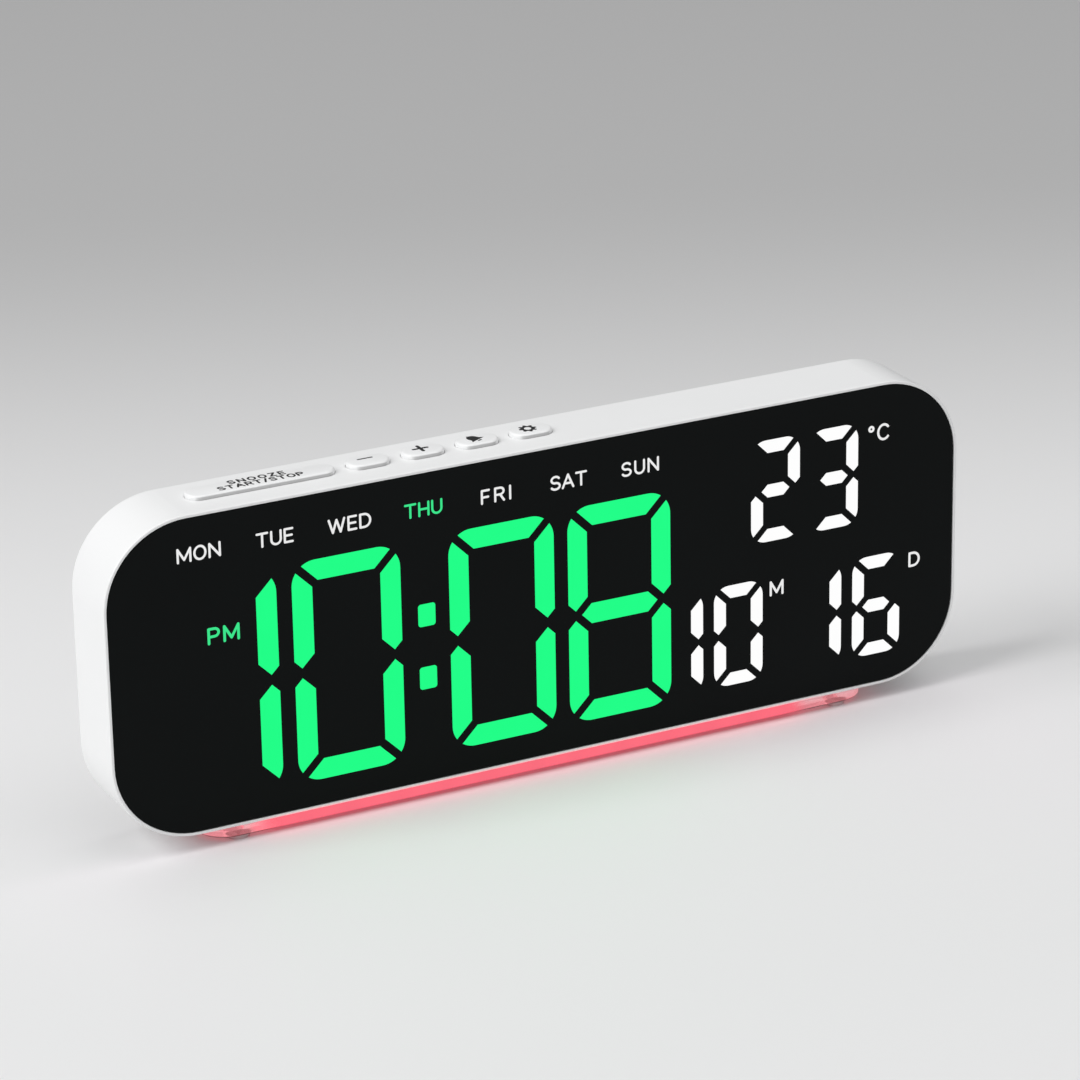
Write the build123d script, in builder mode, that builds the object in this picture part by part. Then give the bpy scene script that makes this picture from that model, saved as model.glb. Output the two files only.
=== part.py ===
from build123d import *
import math
import os

# A slim LED desk clock: a white case with a smoked lens over its whole front, a row of five keys
# along the top and a lit acrylic plate under the case. X runs to the right seen from the front,
# Y runs to the back and Z runs up. The origin is on the desk, under the middle of the case.

os.makedirs("parts", exist_ok=True)

# Case
CASE_W = 182.0
CASE_H = 64.0
CASE_D = 16.0
CASE_R = 17.0
WALL = 1.6
FRONT_ROUND = 0.3
REAR_ROUND = 0.9
LEDGE_T = 1.2
LEDGE_SIDE = 5.2
LEDGE_EDGE = 2.4
WINDOW_R = 12.0

# Lens, and the film behind it
LENS_RIM = 0.6
LENS_GAP = 0.1
LENS_T = 1.5
LENS_INSET = 0.1
LENS_BEVEL = 0.12
FILM_T = 0.2

# Light housing with a shaft for every bar and sign of the display
HOUSING_T = 3.5
HOUSING_GAP = 0.3
INSERT_T = 1.6
PEG_R = 0.8
PEG_PROUD = 0.6
PEG_GAP = 0.05
PEG_EDGE = 2.6

# Display: thickness of the bars and the gaps between them
TIME_BAR = 4.15
TIME_BAR_GAP = 1.65
TIME_BAR_R = 4.8
DATE_BAR = 2.65
DATE_BAR_GAP = 1.4
DATE_BAR_R = 3.2
COLON_R = 0.6
SIGN_R = 0.5

# Main board and what it carries
BOARD_T = 1.2
BOARD_GAP = 0.4
BOARD_EDGE = 2.9
BOARD_R = 11.5
EAR_EDGE = 1.2
EAR_GAP = 0.2
CHIP_L = 1.6
CHIP_W = 0.8
CHIP_T = 0.8
STANDOFF_R = 2.3
STANDOFF_EDGE = 2.8
BOSS_RISE = 2.0
CONTROLLER_W = 9.0
CONTROLLER_T = 1.4
CONTROLLER_R = 0.4
CRYSTAL_L = 8.0
CRYSTAL_W = 3.2
CRYSTAL_T = 2.4
REGULATOR_L = 6.5
REGULATOR_W = 3.5
REGULATOR_T = 1.8
CAP_R = 2.5
CAP_GAP = 2.3
CAP_PITCH = 7.0
CAPS = 2
BUZZER_R = 6.0
BUZZER_GAP = 2.3
BUZZER_BEVEL = 0.4
BEAD_R = 1.1
BEAD_LEG_R = 0.3
BEAD_GAP = 1.8

# Screws
SCREW_R = 1.0
SCREW_GAP = 0.05
SCREW_HEAD_R = 1.8
SCREW_HEAD_T = 1.0
SCREW_HEAD_GAP = 0.2
BOARD_SCREW_L = 3.2
COVER_SCREW_L = 6.0
PLATE_SCREW_L = 6.2
SCREW_TIP_GAP = 0.2

# Keys on the top, their openings and the switches under them
KEY_W = 5.2
KEY_RISE = 0.9
KEY_BEVEL = 0.3
KEY_GAP = 0.12
KEY_TRAVEL = 0.4
FLANGE_LIP = 0.5
FLANGE_T = 0.8
FLANGE_GAP = 0.05
SNOOZE_L = 30.0
SNOOZE_START = 3.4
SNOOZE_SWITCH_PITCH = 18.0
SMALL_KEY_L = 8.6
KEY_SPACE = 2.7
SMALL_KEY_PITCH = 11.4
STEM_L = 3.2
STEM_W = 2.0
STEM_T = 0.75
SWITCH_L = 6.4
SWITCH_D = 3.2
SWITCH_H = 3.6
SWITCH_RISE = 0.4
PLUNGER_L = 2.4
PLUNGER_W = 1.2
PLUNGER_DIP = 0.9
PLUNGER_GAP = 0.1

# Back cover
COVER_T = 1.8
COVER_GAP = 0.1
COVER_BEVEL = 0.25
REST_L = 6.0
REST_D = 2.0
REST_H = 2.0
VENT_L = 14.0
VENT_W = 1.4
VENT_PITCH = 3.2
VENTS = 5
SOUND_R = 0.75
SOUND_PITCH = 3.0
SOUND_HOLES = 6

# Power inlet
INLET_W = 9.0
INLET_H = 3.3
INLET_SHELL = 0.3
INLET_INSET = 0.2
INLET_BASE = 2.5
INLET_GAP = 0.3
TONGUE_W = 6.6
TONGUE_T = 0.7
TONGUE_INSET = 1.0
DISH_EDGE = 2.4
DISH_T = 0.7

# Backup cell with its bay, contacts and door
CELL_R = 10.0
CELL_T = 3.2
CELL_STEP_R = 8.8
CELL_STEP_T = 0.3
CELL_GAP = 0.3
CELL_BACK_GAP = 0.2
BAY_WALL = 1.0
BAY_FLOOR = 1.0
CONTACT_T = 0.4
CONTACT_L = 12.0
CONTACT_W = 4.0
LEG_W = 2.0
LEG_GAP = 0.1
SIDE_CONTACT_T = 0.3
SIDE_CONTACT_REST = 0.6
DOOR_T = 1.0
DOOR_MARGIN = 2.0
DOOR_R = 3.0
DOOR_GAP = 0.15
POST_R = 0.9
POST_L = 1.5
POST_GAP = 0.3
POST_EDGE = 2.3
NOTCH_W = 9.0
NOTCH_H = 2.4
NOTCH_T = 0.6

# Lit plate under the case, its light strip and its feet
FOOT_R = 2.3
FOOT_T = 0.8
FOOT_EDGE = 0.3
PLATE_END = 1.75
PLATE_BACK = 2.0
PLATE_T = 2.6
PLATE_SETBACK = 1.0
PLATE_BEVEL = 0.25
PLATE_SCREW_END = 7.25
PLATE_BOSS_R = 2.2
PLATE_BOSS_H = 2.6
RIB_END = 14.25
RIB_W = 3.0
RIB_RISE = 1.4
RIB_GAP = 0.2
RAIL_W = 0.8
RAIL_H = 1.2
RAIL_GAP = 0.3
STRIP_OVER = 2.0
STRIP_D = 6.0
STRIP_T = 1.0
STRIP_LEDS = 12
STRIP_LED_L = 3.5
STRIP_LED_W = 2.8
STRIP_LED_T = 0.9
LINK_W = 6.0
LINK_T = 0.6
LINK_H = 6.0

OVERRUN = 1.0

# Display layout, in shares of the window in the case: across from its middle, up from its middle
TIME_W_SHARE = 0.1323
TIME_H_SHARE = 0.7945
TIME_UP_SHARE = -0.0683
TIME_X_SHARES = (-0.4025, -0.2516, -0.0596, 0.0903)
COLON_X_SHARE = -0.1543
COLON_W_SHARE = 0.0214
COLON_H_SHARE = 0.0814
COLON_UP_SHARES = (0.0502, -0.1786)
DATE_W_SHARE = 0.0647
DATE_H_SHARE = 0.3765
HEAT_X_SHARES = (0.2951, 0.3733)
HEAT_UP_SHARE = 0.2506
DATE_UP_SHARE = -0.2613
MONTH_X_SHARES = (0.1664, 0.2457)
DAY_X_SHARES = (0.3518, 0.4317)
WEEK_DAYS = 7
WEEK_FIRST_SHARE = -0.4257
WEEK_STEP_SHARE = 0.0906
WEEK_W_SHARE = 0.0615
WEEK_H_SHARE = 0.0717
WEEK_UP_SHARE = 0.4321
PM_SHARES = (-0.4001, 0.1309, 0.0465, 0.0789)
HEAT_SIGN_SHARES = (0.4335, 0.3873, 0.0352, 0.0861)
MONTH_SIGN_SHARES = (0.2969, -0.1183, 0.0262, 0.0753)
DAY_SIGN_SHARES = (0.4830, -0.1183, 0.0203, 0.0753)

# Places on the board and the cover, in shares of the board: across and up from its middle
CONTROLLER_SHARES = (-0.02, -0.16)
CRYSTAL_SHARES = (-0.02, 0.06)
REGULATOR_SHARES = (0.235, -0.10)
CAPS_SHARES = (0.235, -0.30)
BUZZER_SHARES = (0.12, 0.10)
INLET_SHARES = (0.345, -0.27)
BEAD_SHARES = (0.40, 0.20)
VENT_SHARES = (0.38, 0.20)
BAY_SHARES = (-0.27, -0.05)

# Shape of a bar, in shares of its thickness
TIP_SHARE = 0.38
TIP_RISE_SHARE = 0.24
CHIP_PLACE_SHARE = 0.2

# Height of the board's standoffs above the middle, in shares of that of the cover's bosses
STANDOFF_UP_SHARE = 0.41

# Levels, from the desk up
PLATE_LOW = FOOT_T
CASE_LOW = FOOT_T + PLATE_T
CASE_TOP = CASE_LOW + CASE_H
MID_Z = CASE_LOW + CASE_H / 2
FLOOR_Z = CASE_LOW + WALL
ROOF_Z = CASE_TOP - WALL

# Depths, from the front of the case to the back
LENS_BACK = LENS_INSET + LENS_T
LEDGE_BACK = LENS_BACK + LEDGE_T
HOUSING_FRONT = LENS_BACK + FILM_T
BOARD_FRONT = HOUSING_FRONT + HOUSING_T
BOARD_BACK = BOARD_FRONT + BOARD_T
COVER_FRONT = CASE_D - COVER_T
DOOR_FRONT = CASE_D - DOOR_T
CELL_BACK = DOOR_FRONT - CELL_BACK_GAP
CELL_FRONT = CELL_BACK - CELL_T
BAY_FLOOR_BACK = CELL_FRONT - CONTACT_T
BAY_FRONT = BAY_FLOOR_BACK - BAY_FLOOR
KEY_DEPTH = BOARD_BACK + SWITCH_D / 2
PLATE_D = CASE_D - PLATE_SETBACK - PLATE_BACK
PLATE_DEPTH = PLATE_SETBACK + PLATE_D / 2
FOOT_SHIFT = PLATE_D / 2 - FOOT_R - FOOT_EDGE
CAP_T = COVER_FRONT - BOARD_BACK - CAP_GAP
BUZZER_T = COVER_FRONT - BOARD_BACK - BUZZER_GAP
BEAD_LEG_T = COVER_FRONT - BOARD_BACK - BEAD_GAP - BEAD_R

# Widths and heights worked out from the sizes above
LENS_W = CASE_W - 2 * (LENS_RIM + LENS_GAP)
LENS_H = CASE_H - 2 * (LENS_RIM + LENS_GAP)
LENS_R = CASE_R - LENS_RIM - LENS_GAP
ROOM_W = CASE_W - 2 * WALL
ROOM_H = CASE_H - 2 * WALL
WINDOW_W = ROOM_W - 2 * LEDGE_SIDE
WINDOW_H = ROOM_H - 2 * LEDGE_EDGE
HOUSING_W = WINDOW_W - 2 * HOUSING_GAP
HOUSING_H = WINDOW_H - 2 * HOUSING_GAP
HOUSING_R = WINDOW_R - HOUSING_GAP
BOARD_W = WINDOW_W - 2 * BOARD_GAP
BOARD_H = ROOM_H - 2 * BOARD_EDGE
BOARD_TOP = MID_Z + BOARD_H / 2
BOSS_X = ROOM_W / 2 - STANDOFF_EDGE
BOSS_UP = CASE_H / 2 - CASE_R + BOSS_RISE
STANDOFF_UP = STANDOFF_UP_SHARE * BOSS_UP
EAR_H = 2 * (STANDOFF_UP + STANDOFF_R + EAR_EDGE)
PEG_X = HOUSING_W / 2 - PEG_EDGE
PEG_UP = BOSS_UP + STANDOFF_R / 2
SWITCH_TOP = BOARD_TOP + SWITCH_RISE
FLANGE_TOP = ROOF_Z - FLANGE_GAP
FLANGE_LOW = FLANGE_TOP - FLANGE_T
STEM_LOW = FLANGE_LOW - STEM_T
SNOOZE_X = CASE_R + SNOOZE_START + SNOOZE_L / 2 - CASE_W / 2
SMALL_KEY_X = SNOOZE_X + (SNOOZE_L + SMALL_KEY_L) / 2 + KEY_SPACE
BAY_R = CELL_R + CELL_GAP
DOOR_W = 2 * (BAY_R + DOOR_MARGIN)
POST_X = DOOR_W / 2 - POST_EDGE
PLATE_L = CASE_W - 2 * (CASE_R + PLATE_END)
PLATE_SCREW_X = PLATE_L / 2 - PLATE_SCREW_END
RIB_L = PLATE_L - 2 * RIB_END
STRIP_L = RIB_L + 2 * STRIP_OVER
STRIP_LOW = FLOOR_Z + RAIL_H
RAIL_Y = RIB_W / 2 + RIB_GAP + RAIL_GAP + RAIL_W / 2

KEYS = {
    "snooze_bar": (SNOOZE_X, SNOOZE_L, (-SNOOZE_SWITCH_PITCH / 2, SNOOZE_SWITCH_PITCH / 2)),
    "minus_key": (SMALL_KEY_X, SMALL_KEY_L, (0,)),
    "plus_key": (SMALL_KEY_X + SMALL_KEY_PITCH, SMALL_KEY_L, (0,)),
    "alarm_key": (SMALL_KEY_X + 2 * SMALL_KEY_PITCH, SMALL_KEY_L, (0,)),
    "set_key": (SMALL_KEY_X + 3 * SMALL_KEY_PITCH, SMALL_KEY_L, (0,)),
}


def depth_plane(depth):
    """An upright plane at a depth behind the front, its X across, its Y up and its Z to the front."""
    return Plane(origin=(0, depth - CASE_D / 2, MID_Z), x_dir=(1, 0, 0), z_dir=(0, -1, 0))


def flat_plane(height, depth=CASE_D / 2):
    """A level plane at a height above the desk, with its middle at a depth behind the front."""
    return Plane(origin=(0, depth - CASE_D / 2, height), x_dir=(1, 0, 0), z_dir=(0, 0, 1))


def board_place(shares):
    """The place on the board that a pair of shares stands for."""
    return (shares[0] * BOARD_W, shares[1] * BOARD_H)


def window_place(across_share, up_share):
    """The place in the display window that a pair of shares stands for."""
    return (across_share * WINDOW_W, up_share * WINDOW_H)


def save(builder, name):
    """Label a finished piece and write it to its own file."""
    builder.part.label = name
    export_step(builder.part, f"parts/{name}.step")


def mirrored_places(across, up):
    """Four places that mirror one another left to right and top to bottom."""
    return [(sx * across, sz * up) for sx in (-1, 1) for sz in (-1, 1)]


def upright_bar(width, height, bar, gap, radius):
    """Draw the upper left bar of a digit, with the rounded outer corner and both mitred ends."""
    half_gap = gap / math.sqrt(2)
    lean = math.radians(45) - math.asin(gap / 2 / radius)
    left, top = -width / 2, height / 2
    tip = (left + radius - radius * math.cos(lean), top - radius + radius * math.sin(lean))
    bend = (left + radius - radius * math.cos(lean / 2), top - radius + radius * math.sin(lean / 2))
    low_tip = (left + TIP_SHARE * bar, TIP_RISE_SHARE * bar)
    inner_low = (left + bar, low_tip[1] + (1 - TIP_SHARE) * bar)
    outer_low = (left, low_tip[1] + TIP_SHARE * bar)
    with BuildSketch(mode=Mode.PRIVATE) as drawn:
        with BuildLine():
            ThreePointArc((left, top - radius), bend, tip)
            Polyline(tip, (left + bar, top - bar - half_gap), inner_low, low_tip, outer_low,
                     (left, top - radius))
        make_face()
    return drawn.sketch


def level_bar(width, height, bar, gap, radius):
    """Draw the top bar of a digit, rounded at both outer corners and mitred at both ends."""
    half_gap = gap / math.sqrt(2)
    lean = math.radians(45) - math.asin(gap / 2 / radius)
    top = height / 2
    tip_x = width / 2 - radius + radius * math.sin(lean)
    tip_y = top - radius + radius * math.cos(lean)
    bend_x = width / 2 - radius + radius * math.sin(lean / 2)
    bend_y = top - radius + radius * math.cos(lean / 2)
    round_x = width / 2 - radius
    inner_x = width / 2 - bar - half_gap
    with BuildSketch(mode=Mode.PRIVATE) as drawn:
        with BuildLine():
            ThreePointArc((-tip_x, tip_y), (-bend_x, bend_y), (-round_x, top))
            Line((-round_x, top), (round_x, top))
            ThreePointArc((round_x, top), (bend_x, bend_y), (tip_x, tip_y))
            Polyline((tip_x, tip_y), (inner_x, top - bar), (-inner_x, top - bar), (-tip_x, tip_y))
        make_face()
    return drawn.sketch


def middle_bar(width, bar, gap):
    """Draw the middle bar of a digit, pointed at both ends and one gap away from the upright bars."""
    tip_x = width / 2 - (TIP_SHARE - TIP_RISE_SHARE) * bar - gap * math.sqrt(2)
    inner_x = tip_x - bar / 2
    with BuildSketch(mode=Mode.PRIVATE) as drawn:
        with BuildLine():
            Polyline((-tip_x, 0), (-inner_x, bar / 2), (inner_x, bar / 2), (tip_x, 0),
                     (inner_x, -bar / 2), (-inner_x, -bar / 2), close=True)
        make_face()
    return drawn.sketch


def digits(places, width, height, bar, gap, radius):
    """Draw the bars on the right of each digit, and all seven where a place is marked full."""
    upright = upright_bar(width, height, bar, gap, radius)
    level = level_bar(width, height, bar, gap, radius)
    with Locations(*[place for place, _ in places]):
        add(upright.mirror(Plane.YZ))
        add(upright.mirror(Plane.YZ).mirror(Plane.XZ))
    with Locations(*[place for place, full in places if full]):
        add(upright)
        add(upright.mirror(Plane.XZ))
        add(level)
        add(level.mirror(Plane.XZ))
        add(middle_bar(width, bar, gap))


def sign(shares):
    """Draw the rounded opening for a small sign in the open sketch."""
    across, up, width, height = shares
    with Locations(window_place(across, up)):
        RectangleRounded(width * WINDOW_W, height * WINDOW_H, SIGN_R)


# Openings for the time, its colon, the afternoon sign and the weekdays
with BuildSketch(depth_plane(HOUSING_FRONT)) as time_openings:
    time_places = [(window_place(across, TIME_UP_SHARE), across != TIME_X_SHARES[0])
                   for across in TIME_X_SHARES]
    digits(time_places, TIME_W_SHARE * WINDOW_W, TIME_H_SHARE * WINDOW_H, TIME_BAR,
           TIME_BAR_GAP, TIME_BAR_R)
    with Locations(*[window_place(COLON_X_SHARE, up) for up in COLON_UP_SHARES]):
        RectangleRounded(COLON_W_SHARE * WINDOW_W, COLON_H_SHARE * WINDOW_H, COLON_R)
    sign(PM_SHARES)
    with Locations(*[window_place(WEEK_FIRST_SHARE + day * WEEK_STEP_SHARE, WEEK_UP_SHARE)
                     for day in range(WEEK_DAYS)]):
        RectangleRounded(WEEK_W_SHARE * WINDOW_W, WEEK_H_SHARE * WINDOW_H, SIGN_R)

# Openings for the temperature, the month and the day, each with its sign
with BuildSketch(depth_plane(HOUSING_FRONT)) as date_openings:
    date_places = [(window_place(across, HEAT_UP_SHARE), True) for across in HEAT_X_SHARES]
    date_places += [(window_place(across, DATE_UP_SHARE), across != MONTH_X_SHARES[0])
                    for across in MONTH_X_SHARES + DAY_X_SHARES]
    digits(date_places, DATE_W_SHARE * WINDOW_W, DATE_H_SHARE * WINDOW_H, DATE_BAR,
           DATE_BAR_GAP, DATE_BAR_R)
    for sign_shares in (HEAT_SIGN_SHARES, MONTH_SIGN_SHARES, DAY_SIGN_SHARES):
        sign(sign_shares)

# Case: one moulding with the lens seat in front and open at the back
with BuildPart() as case:
    with BuildSketch(depth_plane(0)):
        RectangleRounded(CASE_W, CASE_H, CASE_R)
    extrude(amount=-CASE_D)
    fillet(case.faces().sort_by(Axis.Y)[0].edges(), FRONT_ROUND)
    fillet(case.faces().sort_by(Axis.Y)[-1].edges(), REAR_ROUND)
    with BuildSketch(depth_plane(0)):
        RectangleRounded(LENS_W + 2 * LENS_GAP, LENS_H + 2 * LENS_GAP, LENS_R + LENS_GAP)
    extrude(amount=-LENS_BACK, mode=Mode.SUBTRACT)
    with BuildSketch(depth_plane(0)):
        RectangleRounded(WINDOW_W, WINDOW_H, WINDOW_R)
    extrude(amount=-LEDGE_BACK, mode=Mode.SUBTRACT)
    with BuildSketch(depth_plane(LEDGE_BACK)):
        RectangleRounded(ROOM_W, ROOM_H, CASE_R - WALL)
    extrude(amount=-(CASE_D - LEDGE_BACK), mode=Mode.SUBTRACT)
    # Standoffs for the board and taller bosses for the cover, all on the ledge
    with BuildSketch(depth_plane(LEDGE_BACK)):
        with Locations(*mirrored_places(BOSS_X, STANDOFF_UP)):
            Circle(STANDOFF_R)
    extrude(amount=-(BOARD_FRONT - LEDGE_BACK))
    with BuildSketch(depth_plane(LEDGE_BACK)):
        with Locations(*mirrored_places(BOSS_X, BOSS_UP)):
            Circle(STANDOFF_R)
    extrude(amount=-(COVER_FRONT - LEDGE_BACK))
    with BuildSketch(depth_plane(BOARD_FRONT)):
        with Locations(*mirrored_places(BOSS_X, STANDOFF_UP)):
            Circle(SCREW_R + SCREW_GAP)
    extrude(amount=BOARD_SCREW_L - BOARD_T + SCREW_TIP_GAP, mode=Mode.SUBTRACT)
    with BuildSketch(depth_plane(COVER_FRONT)):
        with Locations(*mirrored_places(BOSS_X, BOSS_UP)):
            Circle(SCREW_R + SCREW_GAP)
    extrude(amount=COVER_SCREW_L, mode=Mode.SUBTRACT)
    # Rests that hold the cover along the top and the bottom
    with BuildSketch(depth_plane(COVER_FRONT)):
        with Locations(*mirrored_places(ROOM_W / 4, (ROOM_H - REST_H) / 2)):
            Rectangle(REST_L, REST_H)
    extrude(amount=REST_D)
    # Openings for the keys
    for key_x, key_l, _ in KEYS.values():
        with BuildSketch(flat_plane(ROOF_Z - OVERRUN, KEY_DEPTH)):
            with Locations((key_x, 0)):
                SlotOverall(key_l + 2 * KEY_GAP, KEY_W + 2 * KEY_GAP)
        extrude(amount=WALL + 2 * OVERRUN, mode=Mode.SUBTRACT)
    # Slot for the rib of the lit plate, rails for its light strip and bosses for its screws
    with BuildSketch(flat_plane(FLOOR_Z, PLATE_DEPTH)):
        with Locations((0, RAIL_Y), (0, -RAIL_Y)):
            Rectangle(STRIP_L, RAIL_W)
    extrude(amount=RAIL_H)
    with BuildSketch(flat_plane(CASE_LOW, PLATE_DEPTH)):
        SlotOverall(RIB_L + 2 * RIB_GAP, RIB_W + 2 * RIB_GAP)
    extrude(amount=WALL, mode=Mode.SUBTRACT)
    with BuildSketch(flat_plane(FLOOR_Z, PLATE_DEPTH)):
        with Locations((PLATE_SCREW_X, 0), (-PLATE_SCREW_X, 0)):
            Circle(PLATE_BOSS_R)
    extrude(amount=PLATE_BOSS_H)
    with BuildSketch(flat_plane(CASE_LOW, PLATE_DEPTH)):
        with Locations((PLATE_SCREW_X, 0), (-PLATE_SCREW_X, 0)):
            Circle(SCREW_R + SCREW_GAP)
    extrude(amount=WALL + PLATE_BOSS_H, mode=Mode.SUBTRACT)
save(case, "case")

with BuildPart() as lens:
    with BuildSketch(depth_plane(LENS_INSET)):
        RectangleRounded(LENS_W, LENS_H, LENS_R)
    extrude(amount=-LENS_T)
    chamfer(lens.faces().sort_by(Axis.Y)[0].edges(), LENS_BEVEL)
save(lens, "lens")

with BuildPart() as diffuser_film:
    with BuildSketch(depth_plane(LENS_BACK)):
        RectangleRounded(HOUSING_W, HOUSING_H, HOUSING_R)
    extrude(amount=-FILM_T)
save(diffuser_film, "diffuser_film")

# Light housing: a shaft for each bar and sign, and pegs that place it on the board
with BuildPart() as light_housing:
    with BuildSketch(depth_plane(HOUSING_FRONT)):
        RectangleRounded(HOUSING_W, HOUSING_H, HOUSING_R)
    extrude(amount=-HOUSING_T)
    extrude(time_openings.sketch, amount=-HOUSING_T, mode=Mode.SUBTRACT)
    extrude(date_openings.sketch, amount=-HOUSING_T, mode=Mode.SUBTRACT)
    with BuildSketch(depth_plane(BOARD_FRONT)):
        with Locations(*mirrored_places(PEG_X, PEG_UP)):
            Circle(PEG_R)
    extrude(amount=-(BOARD_T + PEG_PROUD))
save(light_housing, "light_housing")

# Cast inserts that fill the front of the shafts
with BuildPart() as time_segments:
    extrude(time_openings.sketch, amount=-INSERT_T)
save(time_segments, "time_segments")

with BuildPart() as date_segments:
    extrude(date_openings.sketch, amount=-INSERT_T)
save(date_segments, "date_segments")

# Light chips: a pair in each long bar and one in each short bar or sign
with BuildPart() as display_chips:
    upright_places, level_places = [], []
    for opening in time_openings.sketch.faces() + date_openings.sketch.faces():
        box = opening.bounding_box()
        across, up = box.center().X, box.center().Z - MID_Z
        reach = CHIP_PLACE_SHARE * max(box.size.X, box.size.Z)
        steps = (-reach, reach) if reach > CHIP_L else (0,)
        if box.size.Z > box.size.X:
            upright_places += [(across, up + step) for step in steps]
        else:
            level_places += [(across + step, up) for step in steps]
    with BuildSketch(depth_plane(BOARD_FRONT)):
        with Locations(*upright_places):
            Rectangle(CHIP_W, CHIP_L)
        with Locations(*level_places):
            Rectangle(CHIP_L, CHIP_W)
    extrude(amount=CHIP_T)
save(display_chips, "display_chips")

# Main board, held at its two ears and pierced for the screws and the pegs
with BuildPart() as main_board:
    with BuildSketch(depth_plane(BOARD_FRONT)):
        RectangleRounded(BOARD_W, BOARD_H, BOARD_R)
        Rectangle(ROOM_W - 2 * EAR_GAP, EAR_H)
        with Locations(*mirrored_places(BOSS_X, STANDOFF_UP)):
            Circle(SCREW_R + SCREW_GAP, mode=Mode.SUBTRACT)
        with Locations(*mirrored_places(PEG_X, PEG_UP)):
            Circle(PEG_R + PEG_GAP, mode=Mode.SUBTRACT)
    extrude(amount=-BOARD_T)
save(main_board, "main_board")

with BuildPart() as board_screws:
    with BuildSketch(depth_plane(BOARD_BACK)):
        with Locations(*mirrored_places(BOSS_X, STANDOFF_UP)):
            Circle(SCREW_HEAD_R)
    extrude(amount=-SCREW_HEAD_T)
    with BuildSketch(depth_plane(BOARD_BACK)):
        with Locations(*mirrored_places(BOSS_X, STANDOFF_UP)):
            Circle(SCREW_R)
    extrude(amount=BOARD_SCREW_L)
save(board_screws, "board_screws")

with BuildPart() as controller:
    with BuildSketch(depth_plane(BOARD_BACK)):
        with Locations(board_place(CONTROLLER_SHARES)):
            RectangleRounded(CONTROLLER_W, CONTROLLER_W, CONTROLLER_R)
    extrude(amount=-CONTROLLER_T)
save(controller, "controller")

with BuildPart() as crystal:
    with BuildSketch(depth_plane(BOARD_BACK)):
        with Locations(board_place(CRYSTAL_SHARES)):
            SlotOverall(CRYSTAL_L, CRYSTAL_W)
    extrude(amount=-CRYSTAL_T)
save(crystal, "crystal")

with BuildPart() as regulator:
    with BuildSketch(depth_plane(BOARD_BACK)):
        with Locations(board_place(REGULATOR_SHARES)):
            Rectangle(REGULATOR_L, REGULATOR_W)
    extrude(amount=-REGULATOR_T)
save(regulator, "regulator")

with BuildPart() as capacitors:
    with BuildSketch(depth_plane(BOARD_BACK)):
        with Locations(board_place(CAPS_SHARES)):
            with GridLocations(CAP_PITCH, 0, CAPS, 1):
                Circle(CAP_R)
    extrude(amount=-CAP_T)
save(capacitors, "capacitors")

with BuildPart() as buzzer:
    with BuildSketch(depth_plane(BOARD_BACK)):
        with Locations(board_place(BUZZER_SHARES)):
            Circle(BUZZER_R)
    extrude(amount=-BUZZER_T)
    chamfer(buzzer.faces().sort_by(Axis.Y)[-1].edges(), BUZZER_BEVEL)
    with BuildSketch(depth_plane(BOARD_BACK + BUZZER_T)):
        with Locations(board_place(BUZZER_SHARES)):
            Circle(SOUND_R)
    extrude(amount=BUZZER_T / 2, mode=Mode.SUBTRACT)
save(buzzer, "buzzer")

# Heat sensor: a bead on a leg, held off the board in the air that the vents let in
with BuildPart() as heat_sensor:
    with BuildSketch(depth_plane(BOARD_BACK)):
        with Locations(board_place(BEAD_SHARES)):
            Circle(BEAD_LEG_R)
    extrude(amount=-BEAD_LEG_T)
    bead_x, bead_up = board_place(BEAD_SHARES)
    with Locations((bead_x, BOARD_BACK + BEAD_LEG_T - CASE_D / 2, MID_Z + bead_up)):
        Sphere(BEAD_R)
save(heat_sensor, "heat_sensor")

# Switches pushed from above, each with a well for its plunger
with BuildPart() as key_switches:
    for key_x, _, shifts in KEYS.values():
        places = [(key_x + shift, 0) for shift in shifts]
        with BuildSketch(flat_plane(SWITCH_TOP, KEY_DEPTH)):
            with Locations(*places):
                Rectangle(SWITCH_L, SWITCH_D)
        extrude(amount=-SWITCH_H)
        with BuildSketch(flat_plane(SWITCH_TOP, KEY_DEPTH)):
            with Locations(*places):
                Rectangle(PLUNGER_L + 2 * PLUNGER_GAP, PLUNGER_W + 2 * PLUNGER_GAP)
        extrude(amount=-(PLUNGER_DIP + KEY_TRAVEL + PLUNGER_GAP), mode=Mode.SUBTRACT)
save(key_switches, "key_switches")

# Keys and their plungers
for key_name, (key_x, key_l, shifts) in KEYS.items():
    places = [(key_x + shift, 0) for shift in shifts]
    with BuildPart() as key:
        with BuildSketch(flat_plane(FLANGE_TOP, KEY_DEPTH)):
            with Locations((key_x, 0)):
                SlotOverall(key_l, KEY_W)
        extrude(amount=CASE_TOP + KEY_RISE - FLANGE_TOP)
        chamfer(key.faces().sort_by(Axis.Z)[-1].edges(), KEY_BEVEL)
        with BuildSketch(flat_plane(FLANGE_LOW, KEY_DEPTH)):
            with Locations((key_x, 0)):
                SlotOverall(key_l + 2 * FLANGE_LIP, KEY_W + 2 * FLANGE_LIP)
        extrude(amount=FLANGE_T)
        with BuildSketch(flat_plane(STEM_LOW, KEY_DEPTH)):
            with Locations(*places):
                Rectangle(STEM_L, STEM_W)
        extrude(amount=STEM_T)
    save(key, key_name)

    with BuildPart() as plunger:
        with BuildSketch(flat_plane(SWITCH_TOP - PLUNGER_DIP, KEY_DEPTH)):
            with Locations(*places):
                Rectangle(PLUNGER_L, PLUNGER_W)
        extrude(amount=STEM_LOW - SWITCH_TOP + PLUNGER_DIP)
    save(plunger, key_name.replace("_key", "").replace("_bar", "") + "_plunger")

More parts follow.
